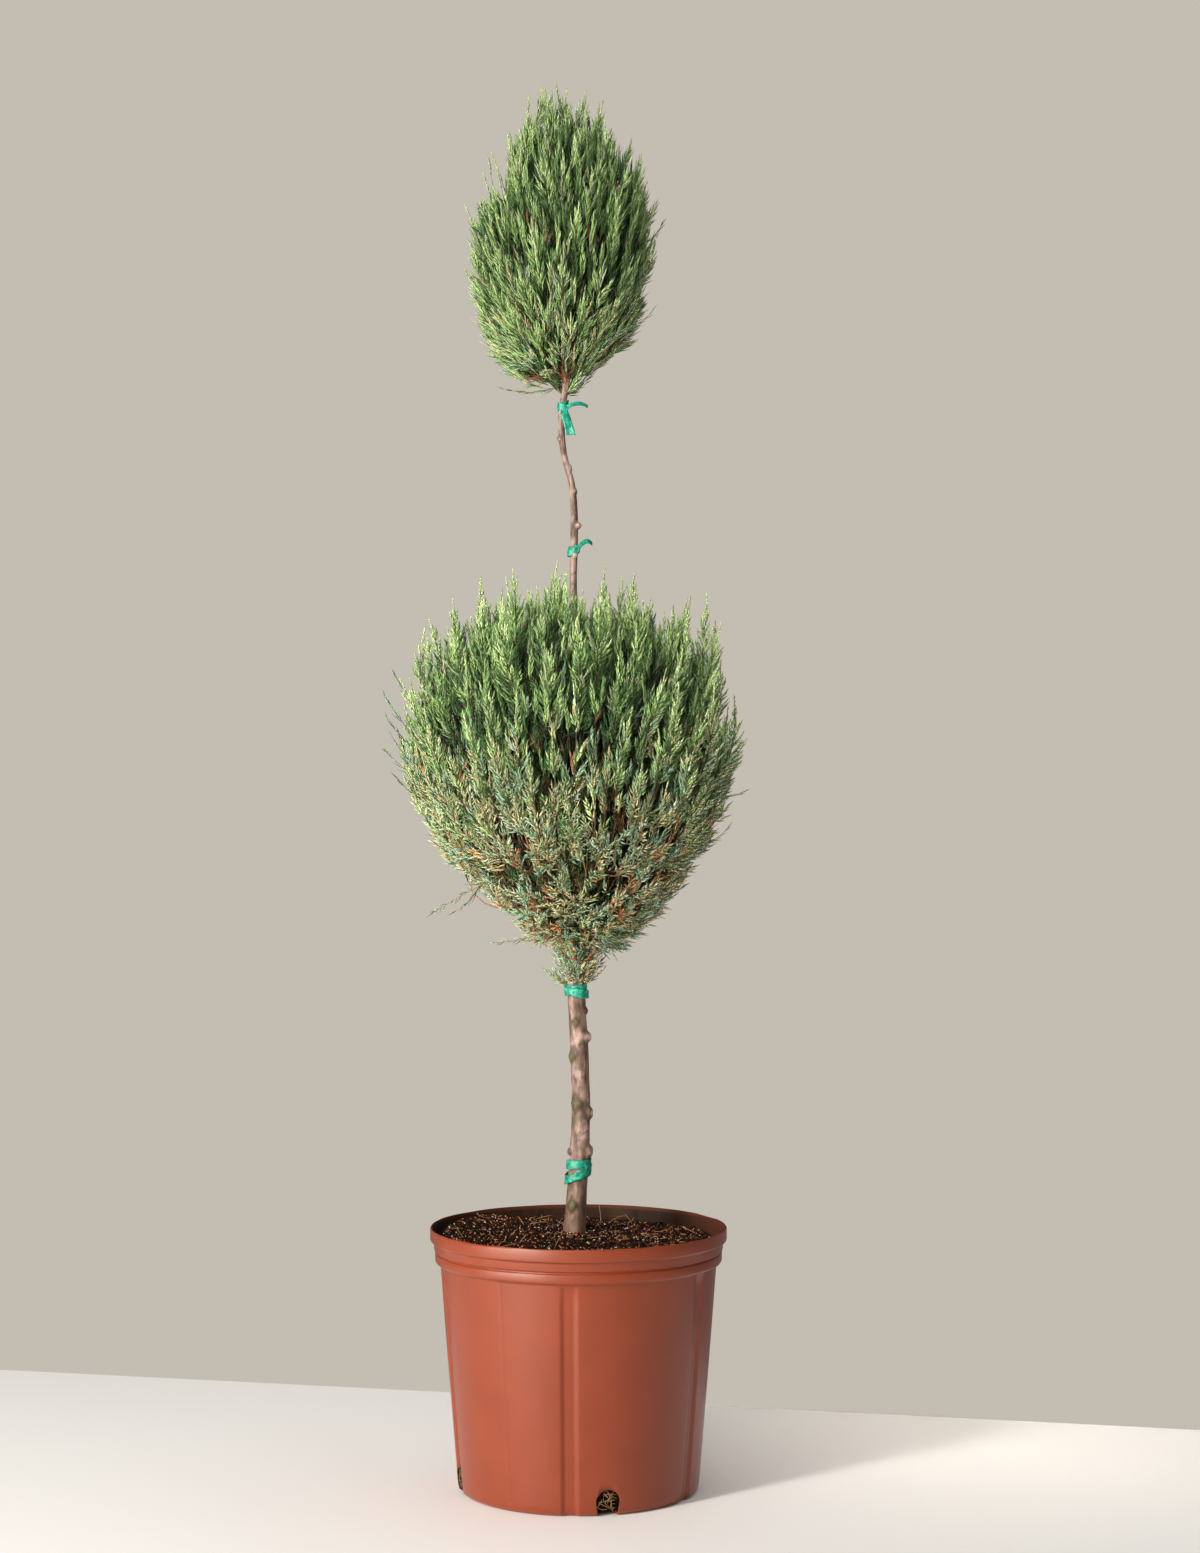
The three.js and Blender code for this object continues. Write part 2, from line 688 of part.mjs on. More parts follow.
topiary.add(meshOf("pot", makePot(), colours.pot));
topiary.add(meshOf("potting_mix", makeSoil(), colours.soil));
topiary.add(meshOf("stem", makeStem(), colours.bark));
for (const tie of ties) topiary.add(meshOf(tie.name, makeTie(tie, stemSleeve), colours.tape));
for (const crown of crowns) {
  const masses = crown.tiers.flatMap((tier, tierIndex) => massesOf(crown, tier, tierIndex));
  const onBoughs = masses.filter((mass) => mass.hasBough);
  const sleeves = joined([stemSleeve, ...onBoughs.map((mass) => boughSolid(mass, gap))]);
  for (const mass of masses) {
    topiary.add(meshOf(`${mass.name}_mass_${mass.number}`, makeMass(mass, sleeves), colours.foliage));
  }
  for (const mass of onBoughs) {
    const bough = mainBody(boughSolid(mass, 0).subtract(stemSleeve));
    topiary.add(meshOf(`${mass.name}_bough_${mass.number}`, bough, colours.bough));
  }
}

export default topiary;
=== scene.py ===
import math

import bmesh
import bpy
import numpy as np
from mathutils import Matrix, Vector, noise


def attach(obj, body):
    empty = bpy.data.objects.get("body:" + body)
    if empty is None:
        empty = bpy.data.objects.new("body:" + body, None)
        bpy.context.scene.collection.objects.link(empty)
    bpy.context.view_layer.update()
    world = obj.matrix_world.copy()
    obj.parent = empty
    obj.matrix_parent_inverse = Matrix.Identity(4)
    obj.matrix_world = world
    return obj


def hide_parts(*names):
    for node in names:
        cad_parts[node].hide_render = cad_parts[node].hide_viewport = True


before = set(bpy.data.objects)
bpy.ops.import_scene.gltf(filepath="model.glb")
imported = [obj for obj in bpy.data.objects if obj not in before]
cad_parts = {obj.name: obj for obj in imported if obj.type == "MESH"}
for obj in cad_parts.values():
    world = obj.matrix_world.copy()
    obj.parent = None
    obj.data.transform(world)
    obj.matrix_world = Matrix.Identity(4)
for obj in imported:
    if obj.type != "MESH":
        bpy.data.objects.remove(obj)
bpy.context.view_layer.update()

# A two-tier clipped juniper on a bare stem, in a terracotta-coloured nursery pot.
# Sizes are in millimetres until a mesh is made. -Y is the front and the pot stands on z = 0.

mm = 0.001
scene = bpy.context.scene
goldenRatio = (math.sqrt(5) - 1) / 2
goldenAngle = 2 * math.pi * (1 - goldenRatio)


# Small tools


def linear(hexText):  # an sRGB hex value as linear red, green, blue and alpha
    shares = [int(hexText[i : i + 2], 16) / 255 for i in (0, 2, 4)]
    return [s / 12.92 if s <= 0.04045 else ((s + 0.055) / 1.055) ** 2.4 for s in shares] + [1]


def outputOf(value):  # a node stands for its first live output
    return next(output for output in value.outputs if output.enabled) if isinstance(value, bpy.types.Node) else value


def addNode(tree, kind, inputs={}, settings={}, stops={}):  # with its links and values, settings and colour stops
    node = tree.nodes.new(kind)
    for name, value in settings.items():
        setattr(node, name, value)
    for name, value in inputs.items():
        value = outputOf(value)
        if isinstance(value, bpy.types.NodeSocket):
            tree.links.new(value, node.inputs[name])
        else:
            node.inputs[name].default_value = value
    elements = node.color_ramp.elements if stops else []
    while len(elements) < len(stops):
        elements.new(0.5)
    for element, (place, hexText) in zip(elements, sorted(stops.items())):
        element.position = place
        element.color = linear(hexText)
    return node


def plainMaterial(name, colour, roughness, **plain):  # one even colour, made once and then found by its name
    if name not in bpy.data.materials:
        material = bpy.data.materials.new(name)
        material.use_nodes = True
        shader = material.node_tree.nodes["Principled BSDF"]
        shader.inputs["Base Color"].default_value = linear(colour)
        shader.inputs["Roughness"].default_value = roughness
        for socket, value in plain.items():
            shader.inputs[socket.replace("_", " ")].default_value = value
    return bpy.data.materials[name]


def patternedMaterial(name, roughness, **plain):  # with its node tree and the place on the piece
    material = plainMaterial(name, "FFFFFF", roughness, **plain)
    tree = material.node_tree
    return material, tree, addNode(tree, "ShaderNodeTexCoord").outputs["Object"]


def feed(tree, drivers):  # what drives the shader's sockets
    for name, driver in drivers.items():
        tree.links.new(outputOf(driver), tree.nodes["Principled BSDF"].inputs[name])


def newPiece(name, mesh, materials, slot, *nodes):  # an object that rides on the plant's one body
    piece = bpy.data.objects.new(name, mesh)
    scene.collection.objects.link(piece)
    for material in materials:
        piece.data.materials.append(material)
    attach(piece, "root")
    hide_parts(*nodes)
    return piece


def meshOfBmesh(name, bm, smooth=True):  # millimetres become metres here
    bmesh.ops.scale(bm, vec=(mm, mm, mm), verts=bm.verts)
    for face in bm.faces:
        face.smooth = smooth
    mesh = bpy.data.meshes.new(name)
    bm.to_mesh(mesh)
    bm.free()
    return mesh


def meshOfArrays(name, points, faces, smooth=True):  # many small closed shapes as one mesh
    mesh = bpy.data.meshes.new(name)
    mesh.vertices.add(len(points))
    mesh.vertices.foreach_set("co", (points * mm).astype(np.float32).ravel())
    mesh.loops.add(faces.size)
    mesh.loops.foreach_set("vertex_index", faces.astype(np.int32).ravel())
    mesh.polygons.add(len(faces))
    mesh.polygons.foreach_set("loop_start", np.arange(0, faces.size, 3, dtype=np.int32))
    mesh.polygons.foreach_set("use_smooth", np.full(len(faces), smooth))
    mesh.update(calc_edges=True)
    return mesh


def spun(profile, steps):  # a profile that is turned round Z
    bm = bmesh.new()
    line = [bm.verts.new(point) for point in profile]
    line += [bm.edges.new(pair) for pair in zip(line, line[1:])]
    whole = {"axis": (0, 0, 1), "cent": (0, 0, 0), "angle": 2 * math.pi, "use_merge": True}
    bmesh.ops.spin(bm, geom=line, steps=steps, **whole)
    bmesh.ops.remove_doubles(bm, verts=bm.verts, dist=0.001)
    return bm


def pulled(bm, faces, reach):  # faces that are pulled out along Z; returns the new vertices
    grown = bmesh.ops.extrude_face_region(bm, geom=faces)["geom"]
    ends = [part for part in grown if isinstance(part, bmesh.types.BMVert)]
    bmesh.ops.translate(bm, vec=(0, 0, reach), verts=ends)
    return ends


def unit(vectors):
    return vectors / np.maximum(np.linalg.norm(vectors, axis=-1, keepdims=True), 1e-9)


def chance(count, purpose):  # a repeatable number from 0 to 1 for a count and a purpose
    return np.mod(np.sin(count * 12.9898 + purpose * 78.233) * 43758.5453, 1.0)


def smoothStep(low, high, value):
    share = np.clip((value - low) / (high - low), 0, 1)
    return share * share * (3 - 2 * share)


def wander(x, y, z, scale):  # smooth noise from -1 to 1, with its grain in millimetres
    return noise.noise(Vector((x / scale, y / scale, z / scale)))


def bezier(start, bend, end, share):  # places on a curve that bends once
    return start * (1 - share) ** 2 + 2 * bend * share * (1 - share) + end * share**2


# The camera stands level with the middle of the lower ball and looks straight at the front

camera = {"place": (0.0217, -2.93, 0.7177), "lens": 67.24, "sensor": 36}

cameraData = bpy.data.cameras.new("camera")
cameraData.lens = camera["lens"]
cameraData.sensor_width = camera["sensor"]
cameraObject = bpy.data.objects.new("camera", cameraData)
cameraObject.location = camera["place"]
cameraObject.rotation_euler = (math.radians(90), 0, 0)
scene.collection.objects.link(cameraObject)
scene.camera = cameraObject

# A pale table in a plain room, lit by a large soft light from the upper left

room = {
    "wall": "C4BDB2",
    "ambient": "F4F3F2",
    "ambientStrength": 0.23,
    "table": "FDFBF8",
    "tableLeft": -4000,
    "tableRight": 4000,
    "tableFront": -4500,
    "tableBackLeft": 1350,  # the far edge runs nearer to the viewer on the right
    "tableBackRight": -520,
    "tableThickness": 40,
}
lights = {  # place, aim, size, spread in degrees, watts and colour; the last four are gridded, to light little else
    "key": ((-2.2, -2.3, 1.95), (0, 0, 0.7), (0.4, 0.9), 180, 104, "FFFBF5"),
    "window": ((-2.1, -2.5, 0.45), (0, 0, 0.4), (1.4, 0.8), 180, 55, "FFFAF2"),
    "overhead": ((0.2, 0.3, 3.6), (0, 0, 0), (2.4, 2.4), 180, 24, "FFFDFB"),
    "front": ((-0.4, -3.4, 1.5), (0, 0, 0.8), (1.6, 1.6), 180, 9, "FFFCF8"),
    "crown": ((-0.4, -3.4, 1.3), (0.03, 0, 0.78), (0.45, 0.45), 24, 1.15, "FFFAF0"),
    "right": ((1.5, -0.1, 2.6), (0.95, 0, 0), (0.5, 0.5), 28, 0.26, "FFFAF4"),
    "shadow": ((1.2, 0.3, 2.6), (0.42, 0.22, 0), (0.4, 0.4), 17, 0.33, "FFF0DE"),
    "side": ((-2.5, -1.3, 0.25), (0, 0, 0.08), (1.8, 0.6), 40, 2.6, "FFF4E2"),
}

scene.view_settings.view_transform = "Standard"
world = bpy.data.worlds.new("room")
world.use_nodes = True
scene.world = world
tree = world.node_tree
seen = tree.nodes["Background"]
seen.inputs["Color"].default_value = linear(room["wall"])
lit = addNode(
    tree, "ShaderNodeBackground", {"Color": linear(room["ambient"]), "Strength": room["ambientStrength"]}
)
rays = addNode(tree, "ShaderNodeLightPath")
both = addNode(tree, "ShaderNodeMixShader", {0: rays.outputs["Is Camera Ray"], 1: lit, 2: seen})
tree.links.new(both.outputs[0], tree.nodes["World Output"].inputs["Surface"])

for name, (place, aimedAt, size, spread, watts, colour) in lights.items():
    data = bpy.data.lights.new(name, "AREA")
    data.shape = "RECTANGLE"
    data.size, data.size_y = size
    data.energy = watts
    data.spread = math.radians(spread)
    data.color = linear(colour)[:3]
    lamp = bpy.data.objects.new(name, data)
    lamp.location = place
    lamp.rotation_euler = (Vector(aimedAt) - lamp.location).to_track_quat("-Z", "Y").to_euler()
    scene.collection.objects.link(lamp)

bm = bmesh.new()
corners = [
    (room["tableLeft"], room["tableFront"]),
    (room["tableRight"], room["tableFront"]),
    (room["tableRight"], room["tableBackRight"]),
    (room["tableLeft"], room["tableBackLeft"]),
]
top = bm.faces.new([bm.verts.new((x, y, 0)) for x, y in corners])
pulled(bm, [top], -room["tableThickness"])
bmesh.ops.recalc_face_normals(bm, faces=bm.faces)
table = bpy.data.objects.new("table", meshOfBmesh("table", bm, smooth=False))
table.data.materials.append(plainMaterial("painted_table_top", room["table"], 0.6))  # matt, with no grain to see
scene.collection.objects.link(table)
print("camera, light and table are made")


# The pot: thin polyethylene, blown in a mould, with a satin skin and pressed channels

pot = {
    "height": 264,
    "wallThickness": 2,
    "floorThickness": 3,
    "outline": [  # radius and height, from the middle of the base up the outside to the lip
        (0, 0), (110, 0), (117.5, 0.5), (120.8, 3.2), (122, 9),
        (139.4, 227), (139.6, 228.2), (143.6, 229), (144.9, 231), (145, 238.6),
        (143.6, 239.3), (143.7, 240.9), (146, 241.7), (146.2, 249.4), (146.9, 250.3),
        (149.2, 250.8), (150, 252), (150, 262.4), (149.2, 263.8),
    ],
    "inside": [  # and down the inside to the middle of the floor
        (148, 263.6), (147.4, 251.6), (144, 247), (141.4, 238),
        (137.4, 226), (120.2, 10.5), (116, 3), (0, 3),
    ],
    "footRadius": 122,
    "footHeight": 9,  # where the rounded corner of the base ends
    "lipInside": 149,  # the inner layer reaches out to here
    "ease": 0.55,  # how far each corner of the outline is rounded
    "rowHeight": 12,
    "steps": 480,
    "outside": "803417",
    "insideColour": "2C1B0A",
    # the turned-in outer layer on the lip, and painted light on the right of the inner wall
    "lipAndPaintedLight": "552818",
}
channel = {  # pressed in, with a steep left side and a broader right side
    "turns": (-147.5, -75.5, -3.5, 60.5, 140.5),
    "left": 8.3,
    "right": 8.7,
    "leftSlope": 2.6,
    "rightSlope": 3.8,
    "depth": 2.5,
    "head": 227,
    "headEase": 2.5,
}
drain = {  # an arch that widens into a square slot below its middle
    "count": 4,
    "turn": 14,
    "radius": 11.8,
    "height": 14.5,
    "slotWidth": 20.5,
    "squareBelow": 0.45,
    "squareness": 1.6,
    "past": 4,  # how far the slot runs on below the base
    "reach": 16,
    "sides": 40,
}
mouldSeam = {"turn": -33, "width": 2.4, "depth": 0.5}
waviness = {  # height and grain of the wall's broad and fine waves and of the lip's sagging
    "floorRadius": 90,
    "broad": (0.7, 70),
    "fine": (0.16, 22),
    "lip": (0.8, 45),
    "lipFoot": 240,
}


def eased(outline, ease, rowHeight):  # an outline with rounded corners, and rows along its long stretches
    points = [Vector((x, 0, z)) for x, z in outline]
    made = [points[0]]
    for before, corner, after in zip(points, points[1:], points[2:]):
        near = corner + (before - corner).normalized() * min(ease, (before - corner).length * 0.45)
        far = corner + (after - corner).normalized() * min(ease, (after - corner).length * 0.45)
        made += [near, near.lerp(far, 0.5).lerp(corner, 0.5), far]
    made.append(points[-1])
    rows = [made[0]]
    for start, end in zip(made, made[1:]):
        count = max(1, math.ceil(abs(end.z - start.z) / rowHeight))
        rows += [start.lerp(end, (i + 1) / count) for i in range(count)]
    return rows


def turnFromFront(x, y):  # degrees round Z, 0 at the front and growing to the right
    return math.degrees(math.atan2(x, -y))


def awayFrom(turn, first, count):  # how far a direction is from the nearest of some that are spread evenly
    span = 360 / count
    return (turn - first + span / 2) % span - span / 2


def channelDepth(radius, turn, z):  # how far the nearest channel presses the wall in
    across = math.radians(min((awayFrom(turn, middle, 1) for middle in channel["turns"]), key=abs)) * radius
    left = smoothStep(-channel["left"], channel["leftSlope"] - channel["left"], across)
    right = 1 - smoothStep(channel["right"] - channel["rightSlope"], channel["right"], across)
    return channel["depth"] * left * right * (1 - smoothStep(channel["head"] - channel["headEase"], channel["head"], z))


def shapeWall(bm):  # the channels, the mould's seam and the slight unevenness of a thin wall
    (broad, broadGrain), (fine, fineGrain), (sag, sagGrain) = (waviness[part] for part in ("broad", "fine", "lip"))
    for vert in bm.verts:
        x, y, z = vert.co
        radius = math.hypot(x, y)
        if radius < waviness["floorRadius"]:
            continue
        turn = turnFromFront(x, y)
        moved = -channelDepth(radius, turn, z)
        if pot["footHeight"] < z < channel["head"]:
            across = math.radians(abs(awayFrom(turn, mouldSeam["turn"], 2))) * radius
            moved -= mouldSeam["depth"] * (1 - smoothStep(0, mouldSeam["width"], across))
        moved += broad * wander(x, y, z * 0.4, broadGrain) * smoothStep(30, pot["height"], z)
        moved += fine * wander(x, y, z * 0.3 + 500, fineGrain)
        vert.co.x += x / radius * moved
        vert.co.y += y / radius * moved
        if z > waviness["lipFoot"]:
            vert.co.z += min(0, sag * wander(x, y, 900, sagGrain)) * smoothStep(waviness["lipFoot"], pot["height"], z)


# Polyethylene blown in a mould has a satin skin, which shows the sky in broad soft streaks
potOutside, tree, place = patternedMaterial(
    "blow_moulded_polyethylene", 0.42, Specular_IOR_Level=0.12, Coat_Weight=0.7, Coat_Roughness=0.33, Coat_IOR=1.5
)
# Pigment is a little uneven over spans of a few centimetres
mottle = addNode(tree, "ShaderNodeTexNoise", {"Vector": place, "Scale": 22, "Detail": 3})
pigment = {0.3: "7C3216", 0.5: pot["outside"], 0.72: "843719"}
skinColour = addNode(tree, "ShaderNodeValToRGB", {"Fac": mottle}, stops=pigment)
# Handling leaves faint upright scuffs, about 3 mm apart
stretch = addNode(tree, "ShaderNodeMapping", {"Vector": place, "Scale": (320, 320, 14)})
scuffs = addNode(tree, "ShaderNodeTexNoise", {"Vector": stretch, "Scale": 1, "Detail": 4})
limits = {"From Min": 0.35, "From Max": 0.75, "To Min": 0.38, "To Max": 0.48}
gloss = addNode(tree, "ShaderNodeMapRange", {"Value": scuffs, **limits})
# The blown skin has a fine orange peel of about 2 mm
peel = addNode(tree, "ShaderNodeTexNoise", {"Vector": place, "Scale": 480, "Detail": 2})
bump = addNode(tree, "ShaderNodeBump", {"Height": peel, "Strength": 0.12, "Distance": 0.0004})
feed(tree, {"Base Color": skinColour, "Roughness": gloss, "Normal": bump})

# The inner layer is dark recycled plastic, dull with dried soil and water marks
potInside, tree, place = patternedMaterial("recycled_polyethylene_liner", 0.72, IOR=1.51, Specular_IOR_Level=0.2)
streaks = addNode(tree, "ShaderNodeMapping", {"Vector": place, "Scale": (60, 60, 20)})
marks = addNode(tree, "ShaderNodeTexNoise", {"Vector": streaks, "Scale": 1, "Detail": 5})
dried = {0.32: "1A0F05", 0.52: pot["insideColour"], 0.75: "3B240E"}
linerColour = addNode(tree, "ShaderNodeValToRGB", {"Fac": marks}, stops=dried)
where = addNode(tree, "ShaderNodeSeparateXYZ", {"Vector": place})
# On the right the inner wall is painted lighter and redder, as painted light where the lamps on the left fall on it;
# the outer layer also turns in over the lip for 3 mm
limits = {"From Min": 0.1, "From Max": 0.148, "To Max": 0.75}
paintedLitSide = addNode(tree, "ShaderNodeMapRange", {"Value": where.outputs["X"], **limits})
limits = {"From Min": 0.2598, "From Max": 0.261, "To Max": 0.9}
edge = addNode(tree, "ShaderNodeMapRange", {"Value": where.outputs["Z"], **limits})
outer = addNode(tree, "ShaderNodeMath", {0: paintedLitSide, 1: edge}, {"operation": "MAXIMUM"})
layers = {"Factor": outer, 6: linerColour, 7: linear(pot["lipAndPaintedLight"])}
feed(tree, {"Base Color": addNode(tree, "ShaderNodeMix", layers, {"data_type": "RGBA"})})

bm = spun(eased(pot["outline"] + pot["inside"], pot["ease"], pot["rowHeight"]), pot["steps"])
shapeWall(bm)
bmesh.ops.recalc_face_normals(bm, faces=bm.faces)
potMesh = meshOfBmesh("pot_shell", bm)

# Each drain hole is an arch, open down through the rounded corner of the base
bm = bmesh.new()
for i in range(drain["count"]):
    hole = bmesh.ops.create_circle(bm, segments=drain["sides"], radius=drain["radius"])["verts"]
    for vert in hole:
        if vert.co.y < 0:
            share = min(1, -vert.co.y / (drain["radius"] * drain["squareBelow"]))
            squared = max(-1, min(1, vert.co.x / drain["radius"] * drain["squareness"])) * drain["slotWidth"] / 2
            vert.co.x = squared * share + vert.co.x * (1 - share)
            vert.co.y -= (drain["height"] - drain["radius"] + drain["past"]) * share
    hole = bmesh.ops.contextual_create(bm, geom=hole)["faces"]
    ends = pulled(bm, hole, 2 * drain["reach"])
    both = list({vert for face in hole for vert in face.verts} | set(ends))
    stand = Matrix.Rotation(math.radians(90), 4, "X")
    out = Matrix.Translation((0, drain["reach"] - pot["footRadius"], drain["height"]))
    swung = Matrix.Rotation(math.radians(drain["turn"] + i * 360 / drain["count"]), 4, "Z")
    bmesh.ops.transform(bm, matrix=swung @ out @ stand, verts=both)
bmesh.ops.recalc_face_normals(bm, faces=bm.faces)
cutter = bpy.data.objects.new("drain_cutter", meshOfBmesh("drain_cutter", bm))
scene.collection.objects.link(cutter)

shell = newPiece("pot_shell", potMesh, [potOutside, potInside], "moulded_plastic", "pot")
cut = shell.modifiers.new("drain_holes", "BOOLEAN")
cut.object = cutter
cut.solver = "EXACT"
bpy.context.view_layer.update()
holed = bpy.data.meshes.new_from_object(shell.evaluated_get(bpy.context.evaluated_depsgraph_get()))
shell.modifiers.clear()
shell.data = holed
bpy.data.objects.remove(cutter)
for face in holed.polygons:  # the dark inner layer reaches up to the edge of the lip
    x, y, z = face.center / mm
    inLip = math.hypot(x, y) < pot["lipInside"]
    isInside = z > pot["floorThickness"] - 0.5 and face.normal.x * x + face.normal.y * y < 0 and inLip
    onEdge = face.normal.z > 0.6 and z > pot["height"] - 2 and inLip
    onFloor = face.normal.z > 0.6 and z < 20
    face.material_index = 1 if isInside or onEdge or onFloor else 0
print("pot is made")


# The potting mix: composted bark, heaped a little, with chips, fibres and grains of perlite

soil = {
    "edgeHeight": 249.5,
    "shoulderRadius": 89,
    "shoulderHeight": 252.5,
    "flatRadius": 34,
    "middleHeight": 258,
    "clear": 2.6,  # what the filling keeps from the outside of the wall
    "gap": 0.4,  # and from the channels
    "topRadius": 139.6,
    "floorTo": 5,
    "topFrom": 249,
    "flatTop": 250,  # before the surface is shaped
    "side": [(0, 3.3), (114.5, 3.3), (119, 12), (127, 118), (135.8, 226), (139.6, 246)],
    "rings": 56,
    "steps": 200,
    "lumps": ((2.2, 0, 26), (1.3, 7, 9), (0.8, 11, 4)),  # height, place in the noise and grain
    "heap": {"x": -100, "y": 50, "radius": 62, "height": 12.5},
}
grains = {  # count, smallest and largest size, and colour
    "dark": (5600, 1.0, 3.0, "120905"),
    "brown": (3000, 0.9, 3.0, "41200D"),
    "tan": (1300, 0.7, 2.4, "A86035"),
    "amber": (2100, 0.5, 1.6, "F0C49C"),
    "perlite": (330, 0.6, 1.5, "FAF6EE"),
}
chip = {"rimGap": 3, "stemX": -4, "stemGap": 12, "mostlySmall": 2.2, "lift": 0.22, "thinnest": 0.35, "push": 0.35}
fibres = {
    "count": 190,
    "rimGap": 12,
    "endGap": 4,
    "lift": 0.4,
    "short": 4,
    "long": 24,
    "bend": 0.12,
    "radius": 0.28,
    "colour": "C08A55",
}
holeRoots = {
    "count": 13,
    "aside": 13,
    "low": 4,
    "high": 27,
    "fromAxis": 119.5,
    "slope": 0.08,  # as the wall's
    "radius": 0.4,
    "colour": "8C6A3C",
}


def soilHeight(x, y):  # a low mound round the stem, a heap at the left and lumps all over
    radius = math.hypot(x, y)
    stops = [0, soil["flatRadius"], soil["shoulderRadius"], soil["topRadius"]]
    heights = [soil["middleHeight"], soil["middleHeight"], soil["shoulderHeight"], soil["edgeHeight"]]
    heap = soil["heap"]
    share = math.hypot(x - heap["x"], y - heap["y"]) / heap["radius"]
    lumps = sum(height * wander(x, y, place, grain) for height, place, grain in soil["lumps"])
    return float(np.interp(radius, stops, heights)) + heap["height"] * math.exp(-share * share) + lumps


# Composted bark is dead matt, in crumbs of 1 to 3 mm from black to dark brown
soilMaterial, tree, place = patternedMaterial("composted_bark", 0.95, Specular_IOR_Level=0.1)
crumbs = addNode(tree, "ShaderNodeTexVoronoi", {"Vector": place, "Scale": 420})
crumbColour = addNode(tree, "ShaderNodeValToRGB", {"Fac": crumbs}, stops={0.0: "2C1A10", 0.35: "180E08", 0.8: "0B0604"})
bump = addNode(tree, "ShaderNodeBump", {"Height": crumbs, "Strength": 0.8, "Distance": 0.002})
feed(tree, {"Base Color": crumbColour, "Normal": bump})

inward = [soil["topRadius"] * (1 - i / soil["rings"]) for i in range(soil["rings"] + 1)]
bm = spun([(x, 0, z) for x, z in soil["side"]] + [(x, 0, soil["flatTop"]) for x in inward], soil["steps"])
for vert in bm.verts:
    if vert.co.z > soil["topFrom"]:
        vert.co.z = soilHeight(vert.co.x, vert.co.y)
    elif vert.co.z > soil["floorTo"]:
        turn = turnFromFront(vert.co.x, vert.co.y)
        radius = math.hypot(vert.co.x, vert.co.y)
        wallRadius = radius + soil["clear"] + pot["wallThickness"]
        shrunk = 1 - (channelDepth(wallRadius, turn, vert.co.z) + soil["gap"]) / radius
        vert.co.x *= shrunk
        vert.co.y *= shrunk
bmesh.ops.recalc_face_normals(bm, faces=bm.faces)
newPiece("potting_mix_bed", meshOfBmesh("potting_mix_bed", bm), [soilMaterial], "potting_mix", "potting_mix")


def chips(rng, count, low, high):  # rough crumbs: boxes with pushed corners, strewn over the bed
    box = np.array([(x, y, z) for z in (-1, 1) for y in (-1, 1) for x in (-1, 1)], dtype=float)
    quads = [(0, 2, 3, 1), (4, 5, 7, 6), (0, 1, 5, 4), (2, 6, 7, 3), (0, 4, 6, 2), (1, 3, 7, 5)]
    faces = np.array([tri for a, b, c, d in quads for tri in ((a, b, c), (a, c, d))])
    radius = np.sqrt(rng.random(count)) * (soil["topRadius"] - chip["rimGap"])
    turn = rng.random(count) * 2 * math.pi
    x, y = radius * np.cos(turn), radius * np.sin(turn)
    keep = np.hypot(x - chip["stemX"], y) > chip["stemGap"]
    x, y = x[keep], y[keep]
    count = len(x)
    size = low + (high - low) * rng.random(count) ** chip["mostlySmall"]
    z = np.array([soilHeight(a, b) for a, b in zip(x, y)]) + size * chip["lift"]
    shape = rng.uniform(chip["thinnest"], 1, (count, 1, 3)) * size[:, None, None] * 0.5
    local = (box[None] + rng.uniform(-chip["push"], chip["push"], (count, 8, 3))) * shape
    axes = np.linalg.qr(rng.normal(size=(count, 3, 3)))[0]
    axes *= np.sign(np.linalg.det(axes))[:, None, None]
    points = np.einsum("nij,nkj->nki", axes, local) + np.stack([x, y, z], -1)[:, None]
    return points.reshape(-1, 3), (faces[None] + 8 * np.arange(count)[:, None, None]).reshape(-1, 3)


def tubes(paths, radii, sides=3):  # closed tapering tubes along many paths at once
    count, rings = paths.shape[:2]
    along = unit(np.gradient(paths, axis=1))
    steady = unit(along[:, rings // 2])
    guide = np.where(np.abs(steady[:, 2:3]) > 0.8, [[1.0, 0.2, 0]], [[0.1, 0.2, 1.0]])[:, None]
    side = unit(np.cross(along, guide))
    other = np.cross(along, side)
    turn = np.arange(sides) * 2 * math.pi / sides
    ringWays = side[:, :, None] * np.cos(turn)[:, None] + other[:, :, None] * np.sin(turn)[:, None]
    body = paths[:, :-1, None] + ringWays[:, :-1] * radii[:, :-1, None, None]
    points = np.concatenate([body.reshape(count, -1, 3), paths[:, -1:]], axis=1)
    faces = [(0, i + 1, i) for i in range(1, sides - 1)]
    for ring in range(rings - 2):
        low, high = ring * sides, (ring + 1) * sides
        for i in range(sides):
            after = (i + 1) % sides
            faces += [(low + i, low + after, high + after), (low + i, high + after, high + i)]
    last = (rings - 2) * sides
    faces += [(last + i, last + (i + 1) % sides, (rings - 1) * sides) for i in range(sides)]
    faces = np.array(faces)[None] + points.shape[1] * np.arange(count)[:, None, None]
    return points.reshape(-1, 3), faces.reshape(-1, 3)


rng = np.random.default_rng(11)
for name, (count, low, high, colour) in grains.items():  # crushed bark and expanded perlite, both matt
    mesh = meshOfArrays(f"soil_{name}", *chips(rng, count, low, high), smooth=False)
    making = "expanded" if name == "perlite" else "crushed_bark"
    material = plainMaterial(f"{making}_{name}", colour, 0.9, Specular_IOR_Level=0.15)
    newPiece(f"potting_mix_{name}_grains", mesh, [material], "potting_mix", "potting_mix")

